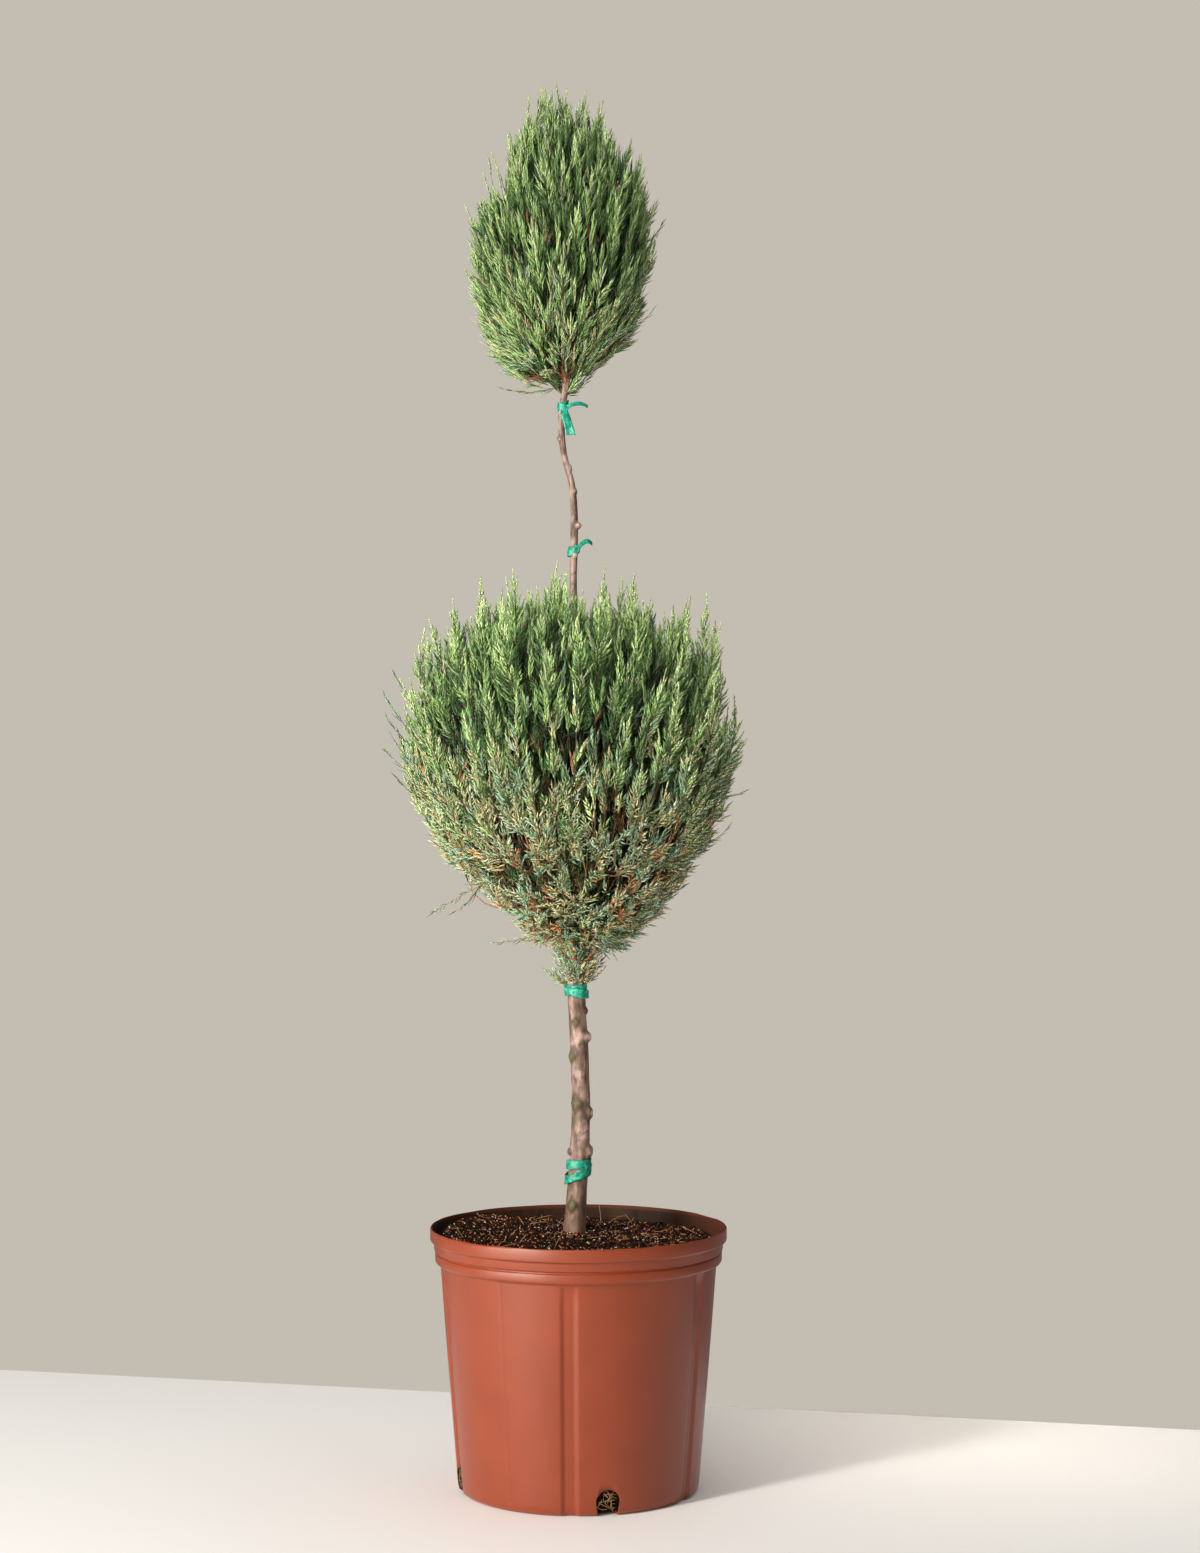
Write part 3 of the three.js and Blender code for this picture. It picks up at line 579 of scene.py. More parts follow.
# Fibres lie on the bed or stand up out of it, and fine roots show in the drain holes
count = fibres["count"]
radius = np.sqrt(rng.random(count)) * (soil["topRadius"] - fibres["rimGap"])
turn = rng.random(count) * 2 * math.pi
foot = np.stack([radius * np.cos(turn), radius * np.sin(turn), np.zeros(count)], -1)
foot[:, 2] = [soilHeight(x, y) + fibres["lift"] for x, y, _ in foot]
heading = rng.normal(size=(count, 3))
heading[:, 2] = np.abs(heading[:, 2]) * rng.choice([0.1, 0.25, 1.4], count, p=[0.5, 0.35, 0.15])  # most lie flat
length = fibres["short"] + (fibres["long"] - fibres["short"]) * rng.random(count) ** 2.5
ends = foot + unit(heading) * length[:, None]
ends *= np.minimum(1, (soil["topRadius"] - fibres["endGap"]) / np.hypot(ends[:, 0], ends[:, 1]))[:, None] ** [1, 1, 0]
middle = (foot + ends) / 2 + rng.normal(size=(count, 3)) * length[:, None] * fibres["bend"]
share = np.linspace(0, 1, 5)[None, :, None]
paths = bezier(foot[:, None], middle[:, None], ends[:, None], share)
strewn = tubes(paths, np.full((count, 5), fibres["radius"]))

roots = []
share = np.linspace(0, 1, 7)[:, None]
for i in range(drain["count"]):
    turn = math.radians(drain["turn"] + i * 360 / drain["count"])
    for j in range(holeRoots["count"]):
        across = rng.uniform(-holeRoots["aside"], holeRoots["aside"], 3) * [1, 0.8, 1]
        heights = rng.uniform(holeRoots["low"], holeRoots["high"], 3)
        depth = holeRoots["fromAxis"] + heights * holeRoots["slope"] + rng.uniform(-1.5, 1.2, 3)
        x, y, z = bezier(*np.stack([across, -depth, heights], -1), share).T
        swungX = x * math.cos(turn) - y * math.sin(turn)
        swungY = x * math.sin(turn) + y * math.cos(turn)
        roots.append(np.stack([swungX, swungY, z], -1))
roots = np.array(roots)
rooted = tubes(roots, np.full(roots.shape[:2], holeRoots["radius"]))
for name, grown, colour in (("fibres", strewn, fibres["colour"]), ("hole_roots", rooted, holeRoots["colour"])):
    material = plainMaterial(f"dry_root_{name}", colour, 0.8)  # dry and woody, with a faint sheen
    name = f"potting_mix_{name}"
    newPiece(name, meshOfArrays(name, *grown), [material], "potting_mix", "potting_mix")
print("potting mix is made")


# The stem: its middle line, sideways, in depth and in height, with the radius there

stemRoute = np.array([
    (-4.5, 0, 240, 13.5),
    (-4, 0, 262, 11.5),
    (-1.5, 1, 300, 10.4),
    (2.5, 2, 370, 10),
    (1, 2, 440, 9.4),
    (-2.5, 1, 505, 9),
    (-4, -1, 600, 8.2),
    (-1, -3, 720, 6.6),
    (-4, -2, 830, 5),
    (-5.3, 0, 919, 3.9),
    (-4.4, 1, 965, 4.1),
    (-6.5, 2, 1012, 3.3),
    (-15, 1, 1045, 3.2),
    (-17, 0, 1082, 3.2),
    (-12, -1, 1118, 3.4),
    (-12, 1, 1220, 2.6),
    (-13, 0, 1312, 1.6),
])
stem = {
    "foot": 250,
    "top": 1312,
    "sides": 64,
    "rowHeight": 1.8,
    "flare": 0.16,
    "flareHeight": 16,
    "twofold": 0.05,  # how far it is out of round
    "threefold": 0.03,
    "mossTop": 480,
}
barkGrain = {"plates": (6, 18, 0), "strips": (2.6, 9, 40), "cracks": (7.5, 40, 90)}  # across, up and place in the noise
barkDepth = {"plates": 0.05, "strips": 0.02, "cracks": 0.035, "crackWidth": 0.06}  # as shares of the radius
scars = [  # height, direction in degrees from +X, radius, how far it stands out, and the look of its face
    (286, 246, 6.5, 1.5, "moss"),
    (339, 342, 6.5, 4, "wood"),
    (339, 190, 4, 3, "bark"),
    (378, 345, 6, 3, "wood"),
    (388, 236, 8, 1.8, "moss"),
    (435, 212, 6, 2.4, "moss"),
    (447, 291, 4.5, 0.8, "moss"),
    (470, 256, 4.5, 1, "moss"),
    (455, 346, 5, 3.5, "wood"),
    (481, 354, 3.5, 2, "bark"),
    (941, 285, 3.2, 2.5, "wood"),
    (971, 320, 3.8, 4, "wood"),
    (1006, 338, 3, 1.2, "bark"),
    (1030, 2, 3.4, 1.5, "bark"),
    (1059, 195, 2.8, 1.8, "bark"),
]
split = {"low": 333, "high": 352, "lowTurn": 268, "highTurn": 238, "width": 2.2, "depth": 1.6}


def stemLine(heights, column):  # a smooth line through one column of the route
    slopes = np.gradient(stemRoute[:, column], stemRoute[:, 2])
    found = np.clip(np.searchsorted(stemRoute[:, 2], heights) - 1, 0, len(stemRoute) - 2)
    low, high = stemRoute[found], stemRoute[found + 1]
    span = high[..., 2] - low[..., 2]
    t = (heights - low[..., 2]) / span
    return (
        low[..., column] * (1 + 2 * t) * (1 - t) ** 2
        + slopes[found] * span * t * (1 - t) ** 2
        + high[..., column] * t * t * (3 - 2 * t)
        - slopes[found + 1] * span * t * t * (1 - t)
    )


def stemAt(height, column):  # straight between the points of the route, where boughs and crowns are rooted
    return np.interp(height, stemRoute[:, 2], stemRoute[:, column])


def stemMiddle(height):  # the place on the stem's middle line at a height, or at many
    return np.array([stemAt(height, 0), stemAt(height, 1), height])


def rolledTube(bm, sides, rings, placeOf):  # a grid that is rolled up, closed at the seam and both ends
    bmesh.ops.create_grid(bm, x_segments=sides, y_segments=rings, size=1)
    for vert in bm.verts:
        vert.co = placeOf((vert.co.x + 1) / 2, (vert.co.y + 1) / 2)
    bmesh.ops.remove_doubles(bm, verts=bm.verts, dist=1e-4)
    bmesh.ops.holes_fill(bm, edges=[edge for edge in bm.edges if edge.is_boundary], sides=0)
    bmesh.ops.recalc_face_normals(bm, faces=bm.faces)


def barkRelief(x, y, z, radius):  # smooth young plates, with a few upright cracks
    plates, strips, cracks = (
        noise.noise(Vector((x / grain, y / grain, z / rise + place))) for grain, rise, place in barkGrain.values()
    )
    cracks = smoothStep(barkDepth["crackWidth"], 0.0, abs(cracks))
    raised = barkDepth["plates"] * plates + barkDepth["strips"] * strips
    return radius * raised - barkDepth["cracks"] * radius * cracks, cracks


# Young juniper bark is dry and dull, in pinkish grey-brown streaks 5 mm wide and a few centimetres long
barkMaterial, tree, place = patternedMaterial("juniper_bark", 0.64)
upright = addNode(tree, "ShaderNodeMapping", {"Vector": place, "Scale": (190, 190, 60)})
strips = addNode(tree, "ShaderNodeTexNoise", {"Vector": upright, "Scale": 1, "Detail": 6, "Roughness": 0.6})
streaked = {0.31: "372722", 0.44: "5E473D", 0.55: "806659", 0.7: "A98F81"}
barkColour = addNode(tree, "ShaderNodeValToRGB", {"Fac": strips}, stops=streaked)
# Pale, rubbed patches a centimetre or two long
patches = addNode(tree, "ShaderNodeTexNoise", {"Vector": place, "Scale": 70, "Detail": 5})
limits = {"From Min": 0.52, "From Max": 0.66, "To Max": 0.6}
pale = addNode(tree, "ShaderNodeMapRange", {"Value": patches, **limits})
# Splashed soil darkens the foot
where = addNode(tree, "ShaderNodeSeparateXYZ", {"Vector": place})
limits = {"From Min": 0.25, "From Max": 0.33, "To Min": 0.75, "To Max": 0}
damp = addNode(tree, "ShaderNodeMapRange", {"Value": where.outputs["Z"], **limits})
# The scars' own marks: red for bare wood, green for moss and blue for cracks
marks = addNode(tree, "ShaderNodeAttribute", settings={"attribute_name": "marks"})
parted = addNode(tree, "ShaderNodeSeparateColor", {"Color": marks})
speckle = addNode(tree, "ShaderNodeTexNoise", {"Vector": place, "Scale": 600, "Detail": 3})
mossColour = addNode(tree, "ShaderNodeValToRGB", {"Fac": speckle}, stops={0.35: "272D12", 0.6: "5C5C2C"})
cutColour = addNode(tree, "ShaderNodeValToRGB", {"Fac": speckle}, stops={0.35: "AD8268", 0.6: "E0C0AA"})
colour = barkColour
for share, over in (
    (pale, linear("AE968A")),
    (damp, linear("5E3F2A")),
    (parted.outputs["Green"], mossColour),
    (parted.outputs["Red"], cutColour),
    (parted.outputs["Blue"], linear("452A1A")),
):
    colour = addNode(tree, "ShaderNodeMix", {"Factor": share, 6: colour, 7: over}, {"data_type": "RGBA"})
bump = addNode(tree, "ShaderNodeBump", {"Height": strips, "Strength": 0.5, "Distance": 0.0012})
feed(tree, {"Base Color": colour, "Normal": bump})

heights = np.arange(stem["foot"], stem["top"] + 1, stem["rowHeight"])
heights = np.linspace(stem["foot"], stem["top"], len(heights))
stemX, stemY, stemRadius = (stemLine(heights, column) for column in (0, 1, 3))
stemMarks = {}


def stemPlace(u, w):  # a place on the bark, at a share of the way round and of the way up
    row = round(w * (len(heights) - 1))
    z, radius = heights[row], stemRadius[row]
    turn = 2 * math.pi * (u % 1)
    x, y = math.cos(turn), math.sin(turn)
    relief, crack = barkRelief(x * radius, y * radius, z, radius)
    twofold = stem["twofold"] * math.sin(2 * turn + z * 0.012)
    threefold = stem["threefold"] * math.sin(3 * turn - z * 0.02)
    out = radius * (1 + twofold + threefold) + relief
    foot = math.exp(-max(0, z - soil["middleHeight"]) / stem["flareHeight"]) * stem["flare"]
    out += foot * (0.6 + 0.5 * math.sin(4 * turn + 0.7))
    wood, moss = 0.0, 0.0
    for scarHeight, scarTurn, scarRadius, proud, look in scars:
        aside = (turn - math.radians(scarTurn) + math.pi) % (2 * math.pi) - math.pi
        away = math.hypot(aside * radius, z - scarHeight) / scarRadius
        if look == "moss":  # an old twig's scar is a lozenge
            away = (abs(aside) * radius + 0.75 * abs(z - scarHeight)) / scarRadius
        if away < 2:
            out += proud * (1 - smoothStep(0.45, 1.35, away))
            face = 1 - smoothStep(0.5, 0.75, away)
            crack *= 1 - face
            if look == "wood":
                wood = max(wood, face)
            if look == "moss":  # with a brown ring round it
                moss = max(moss, 1 - smoothStep(0.6, 1.1, away))
                crack = max(crack, smoothStep(0.45, 0.7, away) * (1 - smoothStep(1.0, 1.4, away)))
    film = 0.7 * smoothStep(0.22, 0.5, noise.noise(Vector((x, y, z / 26 + 3)))) * float(z < stem["mossTop"])
    moss = max(moss, film)
    if split["low"] < z < split["high"]:
        along = (z - split["low"]) / (split["high"] - split["low"])
        aside = turn - math.radians(split["lowTurn"] + (split["highTurn"] - split["lowTurn"]) * along)
        gape = smoothStep(split["width"], 0, abs(aside) * radius) * math.sin(math.pi * along)
        out -= split["depth"] * gape
        crack = max(crack, gape)
    place = Vector((stemX[row] + out * x, stemY[row] + out * y, z))
    stemMarks[place.to_tuple(3)] = (wood, moss, 0.7 * crack)
    return place


bm = bmesh.new()
rolledTube(bm, stem["sides"], len(heights) - 1, stemPlace)
layer = bm.verts.layers.float_color.new("marks")
for vert in bm.verts:
    vert[layer] = (*stemMarks.get(vert.co.to_tuple(3), (0, 0, 0)), 1)
newPiece("stem_bark", meshOfBmesh("stem_bark", bm), [barkMaterial], "bark", "stem")
print("stem is made")


# Ties: soft green film, wrapped flat round the stem and folded over

tape = {
    "thickness": 0.35,
    "steps": 84,
    "across": 6,
    "snug": 1.07,  # its radius as a share of the stem's
    "layer": 0.55,  # how far each turn lies outside the one before
    "tailFrom": 0.86,
    "colour": "128A70",
    # the next two colours are painted shade in the creases and a painted highlight on the ridges
    "fold": "085E4A",
    "paintedRidgeHighlight": "32B898",
}
ties = {  # each wrap's height, width, tilt, how far out, start and sweep in degrees, tail, tail's lift and crease
    "foot_tie": [(327, 9, 1, 0.9, 0, 400, 0, 0, 0.7), (316, 11, 5.5, 1.6, 60, 380, 3, 0, 0.9)],
    "lower_crown_tie": [(503, 11, 1, 0.8, 200, 400, 0, 0, 0.5), (500, 9, -2, 1.9, 40, 380, 2, 0, 0.8)],
    "mid_stem_tie": [(947, 8, 1.5, 0.8, 40, 400, 0, 0, 0.4), (945, 8, 2, 1.5, 345, 375, 12, 9, 0.6)],
    "upper_crown_tie": [(1092, 9, 1, 0.8, 100, 400, 0, 0, 0.8), (1090, 7, -2, 1.7, 350, 370, 19, 7, 0.6)],
}
hangingTail = {"turn": 290, "top": 1090, "bottom": 1062, "width": 10, "out": 3.2, "aside": 4, "steps": 24}

# Stretched vinyl film is smooth, bumped with creases a few millimetres apart; its colour is painted darker in the
# creases, as painted shade, and paler on the ridges, as painted highlight
tapeMaterial, tree, place = patternedMaterial("stretch_vinyl_tape", 0.4, IOR=1.5)
folds = addNode(tree, "ShaderNodeTexNoise", {"Vector": place, "Scale": 260, "Detail": 3})
paintedFoldLight = {0.32: tape["fold"], 0.52: tape["colour"], 0.72: tape["paintedRidgeHighlight"]}
tapeColour = addNode(tree, "ShaderNodeValToRGB", {"Fac": folds}, stops=paintedFoldLight)
bump = addNode(tree, "ShaderNodeBump", {"Height": folds, "Strength": 0.35, "Distance": 0.001})
feed(tree, {"Base Color": tapeColour, "Normal": bump})


def wrapPlace(wrap, along, across, key):  # a place on a band that winds round the stem and may end in a tail
    height, width, tilt, out, start, sweep, reach, lift, crease = wrap
    turn = math.radians(start + sweep * along)
    folded = crease * noise.noise(Vector((math.cos(turn) * 3, math.sin(turn) * 3, across * 2.2 + key)))
    z = height + across * width / 2 * (0.92 + 0.16 * math.sin(turn * 2 + key)) + tilt * math.cos(turn)
    layers = tape["layer"] * max(0, along * sweep / 360 - 0.05)
    radius = float(stemAt(z, 3)) * tape["snug"] + out + (layers + folded)
    tail = max(0, (along - tape["tailFrom"]) / (1 - tape["tailFrom"])) if reach else 0
    radius += reach * tail**1.3
    z -= (across * width * 0.28 + 0.12 * reach) * tail * 0.6
    z += lift * math.sin(tail * 2.3)
    middle = stemMiddle(z)
    slide = Vector((-math.sin(turn), math.cos(turn), 0)) * tail * reach * 0.25
    return Vector((middle[0] + radius * math.cos(turn), middle[1] + radius * math.sin(turn), z)) + slide


def tailPlace(along, across):  # the loose end that hangs down the front
    hang = hangingTail
    turn = math.radians(hang["turn"])
    z = hang["top"] + (hang["bottom"] - hang["top"]) * along
    middle = stemMiddle(z)
    out = 3.6 + hang["out"] * math.sin(along * 2.2) + 0.7 * math.sin(along * 6 + across * 2)
    sideways = across * hang["width"] / 2 * (0.55 + 0.45 * smoothStep(0, 0.35, along)) + 2.2 * along
    x = middle[0] + out * math.cos(turn) - sideways * math.sin(turn) + hang["aside"] * along
    return Vector((x, middle[1] + out * math.sin(turn) + sideways * math.cos(turn) * 0.3, z))


def addStrip(bm, steps, across, placeOf):  # a flat strip of film, bent to its places
    made = bmesh.ops.create_grid(bm, x_segments=steps, y_segments=across, size=1)["verts"]
    for vert in made:
        vert.co = placeOf((vert.co.x + 1) / 2, vert.co.y)


for key, (name, wraps) in enumerate(ties.items()):
    bm = bmesh.new()
    for j, wrap in enumerate(wraps):
        addStrip(bm, tape["steps"], tape["across"], lambda a, b: wrapPlace(wrap, a, b, key * 7 + j * 3))
    if name == "upper_crown_tie":
        addStrip(bm, hangingTail["steps"], tape["across"], tailPlace)
    piece = newPiece(f"{name}_film", meshOfBmesh(f"{name}_film", bm), [tapeMaterial], "tape", name)
    thick = piece.modifiers.new("film", "SOLIDIFY")
    thick.thickness = tape["thickness"] * mm
    thick.offset = 1
print("ties are made")


# The crowns: two clipped eggs of foliage, each in tiers of masses seen from a hub on the stem

crowns = [  # turns and polar angles in degrees, the latter from straight up as seen from the hub
    {
        "name": "lower",
        "seed": 300,
        "middle": -14,
        "radius": 176,
        "baseHeight": 505,
        "wideHeight": 745,
        "topHeight": 925,
        "basePower": 1.45,
        "topPower": 2.5,
        "hubHeight": 590,
        "boughRadius": 4.6,
        "tiers": [  # name, masses, polar from and to, turn, plumes, rise and height where the boughs start
            ("skirt", 6, 69, 142, 15, 17, 0.35, 516),
            ("flank", 7, 37, 68, 40, 16, 0.9, 562),
            ("top", 5, 4, 36, 60, 18, 1, 652),
        ],
    },
    {
        "name": "upper",
        "seed": 200,
        "middle": -15,
        "radius": 97,
        "baseHeight": 1101,
        "wideHeight": 1255,
        "topHeight": 1412,
        "basePower": 2.2,
        "topPower": 1.95,
        "hubHeight": 1140,
        "boughRadius": 2.4,
        "tiers": [  # the top's masses have no boughs
            ("flank", 5, 31, 125, 180, 18, 0.5, 1110),
            ("top", 4, 3, 30, 25, 15, 1, 0),
        ],
    },
]
waves = {"threefold": 0.025, "fivefold": 0.015}  # the crowns' unevenness, as shares of the radius
heart = 0.3  # where a bough ends and its mass's stem begins, as a share of the way to the outline
furthestTip = 1.04  # how far out a spray may reach, as a share of the way to the outline
tipVariety = 0.1
boughShape = {"stagger": 6, "taper": 0.62, "sag": 0.06, "sides": 12, "rings": 14}
plumeSpread = {"across": 0.97, "down": 0.97, "footAcross": 0.8, "footDown": 0.95}
plumeFoot = {"reach": 0.58, "rise": 0.14}


def aim(azimuth, polar):  # unit vectors at azimuths round Z and polar angles from +Z
    azimuth, polar = np.broadcast_arrays(azimuth, polar)
    level = np.sin(polar)
    return np.stack([level * np.cos(azimuth), level * np.sin(azimuth), np.cos(polar)], -1)


def crownRadius(crown, height):  # a superellipse above the widest place and another below
    isAbove = height > crown["wideHeight"]
    wide = crown["wideHeight"]
    reach = np.where(isAbove, crown["topHeight"] - wide, wide - crown["baseHeight"])
    power = np.where(isAbove, crown["topPower"], crown["basePower"])
    share = np.minimum(np.abs(height - wide) / reach, 1)
    return crown["radius"] * (1 - share**power) ** (1 / power)


def outlineReach(crown, ways):  # the distance from the hub to the outline along each way, by halving
    near, far = np.zeros(ways.shape[:-1]), np.full(ways.shape[:-1], 400.0)
    for _ in range(24):
        middle = (near + far) / 2
        place = crown["hub"] + ways * middle[..., None]
        out = np.hypot(place[..., 0] - crown["middle"], place[..., 1])
        isInside = out < crownRadius(crown, place[..., 2])
        near, far = np.where(isInside, middle, near), np.where(isInside, far, middle)
    azimuth = np.arctan2(ways[..., 1], ways[..., 0])
    threefold = waves["threefold"] * np.sin(3 * azimuth + 1)
    fivefold = waves["fivefold"] * np.sin(5 * azimuth + crown["seed"])
    return near * (1 + threefold + fivefold)


def massesOf(crown):  # each has a sector of azimuth and its tier's band of polar angle
    made = []
    for tierIndex, (tier, masses, low, high, turn, plumes, rise, boughHeight) in enumerate(crown["tiers"]):
        span = 2 * math.pi / masses
        for i in range(masses):
            mass = {
                "crown": crown,
                "node": f"{crown['name']}_{tier}_%s_{i + 1}",
                "number": i + 1,
                "seed": crown["seed"] + tierIndex * 20 + i,
                "azimuth": math.radians(turn) + i * span,
                "halfSpan": span / 2,
                "polar": math.radians((low + high) / 2),
                "halfBand": math.radians((high - low) / 2),
                "plumes": plumes,
                "rise": rise,
                "boughHeight": boughHeight,
            }
            way = aim(mass["azimuth"], mass["polar"])
            mass["boughTip"] = crown["hub"] + way * outlineReach(crown, way) * heart
            made.append(mass)
    return made


def boughPath(mass, steps):  # from inside the stem out to the mass
    stagger = mass["crown"]["boughRadius"] * boughShape["stagger"] * ((mass["number"] * goldenRatio) % 1)
    start = stemMiddle(mass["boughHeight"] + stagger)
    tip = mass["boughTip"]
    bend = (start + tip) / 2
    bend[2] -= np.linalg.norm(tip - start) * boughShape["sag"]
    return bezier(start, bend, tip, np.linspace(0, 1, steps)[:, None])


def plumesOf(mass):  # upright shoots whose tips are spread over the outline of the mass's space
    crown = mass["crown"]
    i = np.arange(mass["plumes"])
    aside = np.mod(0.5 + i * goldenRatio + mass["seed"] * 0.37, 1) * 2 - 1
    tipDown = ((i + 0.5) / mass["plumes"] * 2 - 1) * plumeSpread["down"]
    footDown = np.minimum(tipDown + mass["rise"], plumeSpread["footDown"])
    tipShare = furthestTip - tipVariety * chance(mass["seed"] * 10 + i, 1)
    footShare = plumeFoot["reach"] + plumeFoot["rise"] * (footDown - tipDown)
    ends = []
    for across, down, share in (("footAcross", footDown, footShare), ("across", tipDown, tipShare)):
        azimuth = mass["azimuth"] + aside * plumeSpread[across] * mass["halfSpan"]
        way = aim(azimuth, mass["polar"] + down * mass["halfBand"])
        ends.append(crown["hub"] + way * (outlineReach(crown, way) * share)[:, None])
    return ends


for crown in crowns:
    crown["hub"] = stemMiddle(crown["hubHeight"])
    crown["masses"] = massesOf(crown)

# Young bark on the boughs is smoother and redder than the stem's, in flakes of a few millimetres
boughMaterial, tree, place = patternedMaterial("young_juniper_bark", 0.75)
flakes = addNode(tree, "ShaderNodeTexNoise", {"Vector": place, "Scale": 260, "Detail": 5, "Roughness": 0.6})
flaked = {0.3: "562E1E", 0.5: "9C5F40", 0.7: "C68E66"}
boughColour = addNode(tree, "ShaderNodeValToRGB", {"Fac": flakes}, stops=flaked)
bump = addNode(tree, "ShaderNodeBump", {"Height": flakes, "Strength": 0.6, "Distance": 0.001})
feed(tree, {"Base Color": boughColour, "Normal": bump})


def limbPlace(path, first, last, u, w):  # a place on a bough's bark; its radius goes from first to last
    at = w * (len(path) - 1)
    low = min(int(at), len(path) - 2)
    middle = Vector(path[low]).lerp(Vector(path[low + 1]), at - low)
    along = Vector(path[low + 1] - path[low]).normalized()
    side = along.cross(Vector((0.2, 0.3, 1))).normalized()
    other = along.cross(side)
    turn = 2 * math.pi * (u % 1)
    radius = first + (last - first) * w
    spot = Vector((math.cos(turn) * radius, math.sin(turn) * radius, w * 60))
    radius += 0.12 * radius * noise.noise(spot / 2.2) + 0.1 * radius * noise.noise(spot / 5)
    return middle + (side * math.cos(turn) + other * math.sin(turn)) * radius


for mass in (mass for crown in crowns for mass in crown["masses"] if mass["boughHeight"]):
    path = boughPath(mass, boughShape["rings"] + 1)
    first = mass["crown"]["boughRadius"]
    last = first * boughShape["taper"]
    bm = bmesh.new()
    rolledTube(bm, boughShape["sides"], boughShape["rings"], lambda u, w: limbPlace(path, first, last, u, w))
    name = mass["node"] % "bough"
    newPiece(f"{name}_bark", meshOfBmesh(name, bm), [boughMaterial], "bough_bark", name)
print("boughs are made")


# Foliage. A plume is a twig with side shoots all round it, and each shoot is a flat spray of scaly strands.

foliage = {  # a pair is the least and the most
    "plumeVigour": (0.82, 1.15),
    "plumeCurve": 0.55,
    "shootSpacing": 2.9,
    "shootStart": 0.16,
    "shootEnd": 0.985,
    "shootLength": (0.72, 1.2),
    "shortestShoot": 0.14,  # at the plume's tip, as a share of the longest
    "shootPower": 0.62,
    "shootTurn": 0.35,  # how far shoots stray, in radians round the plume and in degrees from it
    "shootAngle": 5,
    "slimFrom": 0.66,  # where a plume begins to grow slim
    "strandSpacing": 2.5,
    "strandLength": (0.75, 1.3),
    "strandSpread": (0.62, 1.08),
    "strandRadius": 1.02,
    "strandThickness": (0.82, 1.15),
    "endStrand": 1.4,  # how much longer a shoot's last strand is
    "leader": 30,
    "leaderOut": 0.55,
    "leaderLength": (0.6, 1.2),
    "clearOfStem": 13,
    "fillerShell": (0.52, 0.88),  # as shares of the way to the outline
    "fillerLength": (0.7, 1.2),
    "footHeight": 62,
    "footSpread": (0.5, 1.3),
    "footLength": (0.45, 1.15),
    "innerShell": (0.16, 0.8),
    "innerLength": (14, 32),
    "innerRadius": (1.5, 2.4),
    "innerBrown": 0.12,
    "innerClear": 16,
    "wispStrands": 0.75,
    "wispThickness": 0.6,
    "twigTip": 0.45,
    "longShoot": 13,
}
# How much wider, longer or slimmer growth is in the old, open part, and near a plume's tip
older = {"spread": 0.5, "length": 2.2, "growth": 0.3, "radius": 0.08, "leader": 0.4, "stray": 6, "lost": 0.42}
slimmer = {"spread": 0.4, "length": 0.42, "radius": 0.2}
looks = {  # what differs between the open, feathery ball and the finer, fan-like head
    "lower": {
        "spread": 29,
        "angle": 36,
        "strandShort": 5.0,
        "strandGrowth": 0.26,
        "thickness": 1.0,
        "inner": 5200,
        "fillers": 4300,
        "fillerReach": 28,
        "footSprays": 80,
        "footReach": 28,
        "fanned": 0.15,
        "twig": 1.5,
    },
    "upper": {
        "spread": 31,
        "angle": 30,
        "strandShort": 6.2,
        "strandGrowth": 0.34,
        "thickness": 0.8,
        "inner": 2300,
        "fillers": 2250,
        "fillerReach": 30,
        "footSprays": 46,
        "footReach": 40,
        "fanned": 0.6,
        "twig": 0.9,
    },
}
clipping = {  # how much of the outline the plumes reach, by polar angle, and how much less on one side
    "lower": {
        "polar": (0, 14, 25, 40, 70, 100, 130, 180),
        "reach": (0.93, 0.94, 1.0, 0.98, 0.98, 0.95, 0.9, 0.85),
        "side": 180,
        "cut": (0, 0, 0, 0, 0.13, 0.34, 0.24, 0.2),
    },
    "upper": {
        "polar": (0, 12, 22, 35, 45, 55, 75, 90, 180),
        "reach": (0.97, 0.94, 0.95, 0.98, 0.98, 0.98, 0.98, 0.97, 0.95),
        "side": 0,
        "cut": (0, 0, 0, 0.03, 0.09, 0.15, 0.17, 0.4, 0.42),
    },
}
hollows = [  # dark places in the front of the crowns: x, z and radius
    (-12, 750, 16),
    (-22, 713, 10),
    (34, 673, 17),
    (-53, 650, 12),
    (76, 703, 12),
    (86, 660, 12),
    (-30, 586, 9),
    (35, 702, 10),
    (40, 612, 10),
    (-72, 1272, 9),
    (-60, 1236, 8),
    (46, 1322, 9),
    (44, 1296, 9),
]
notches = [("upper", -70, 1298), ("upper", -42, 1374)]  # where one side's top is clipped lower: crown, x and height
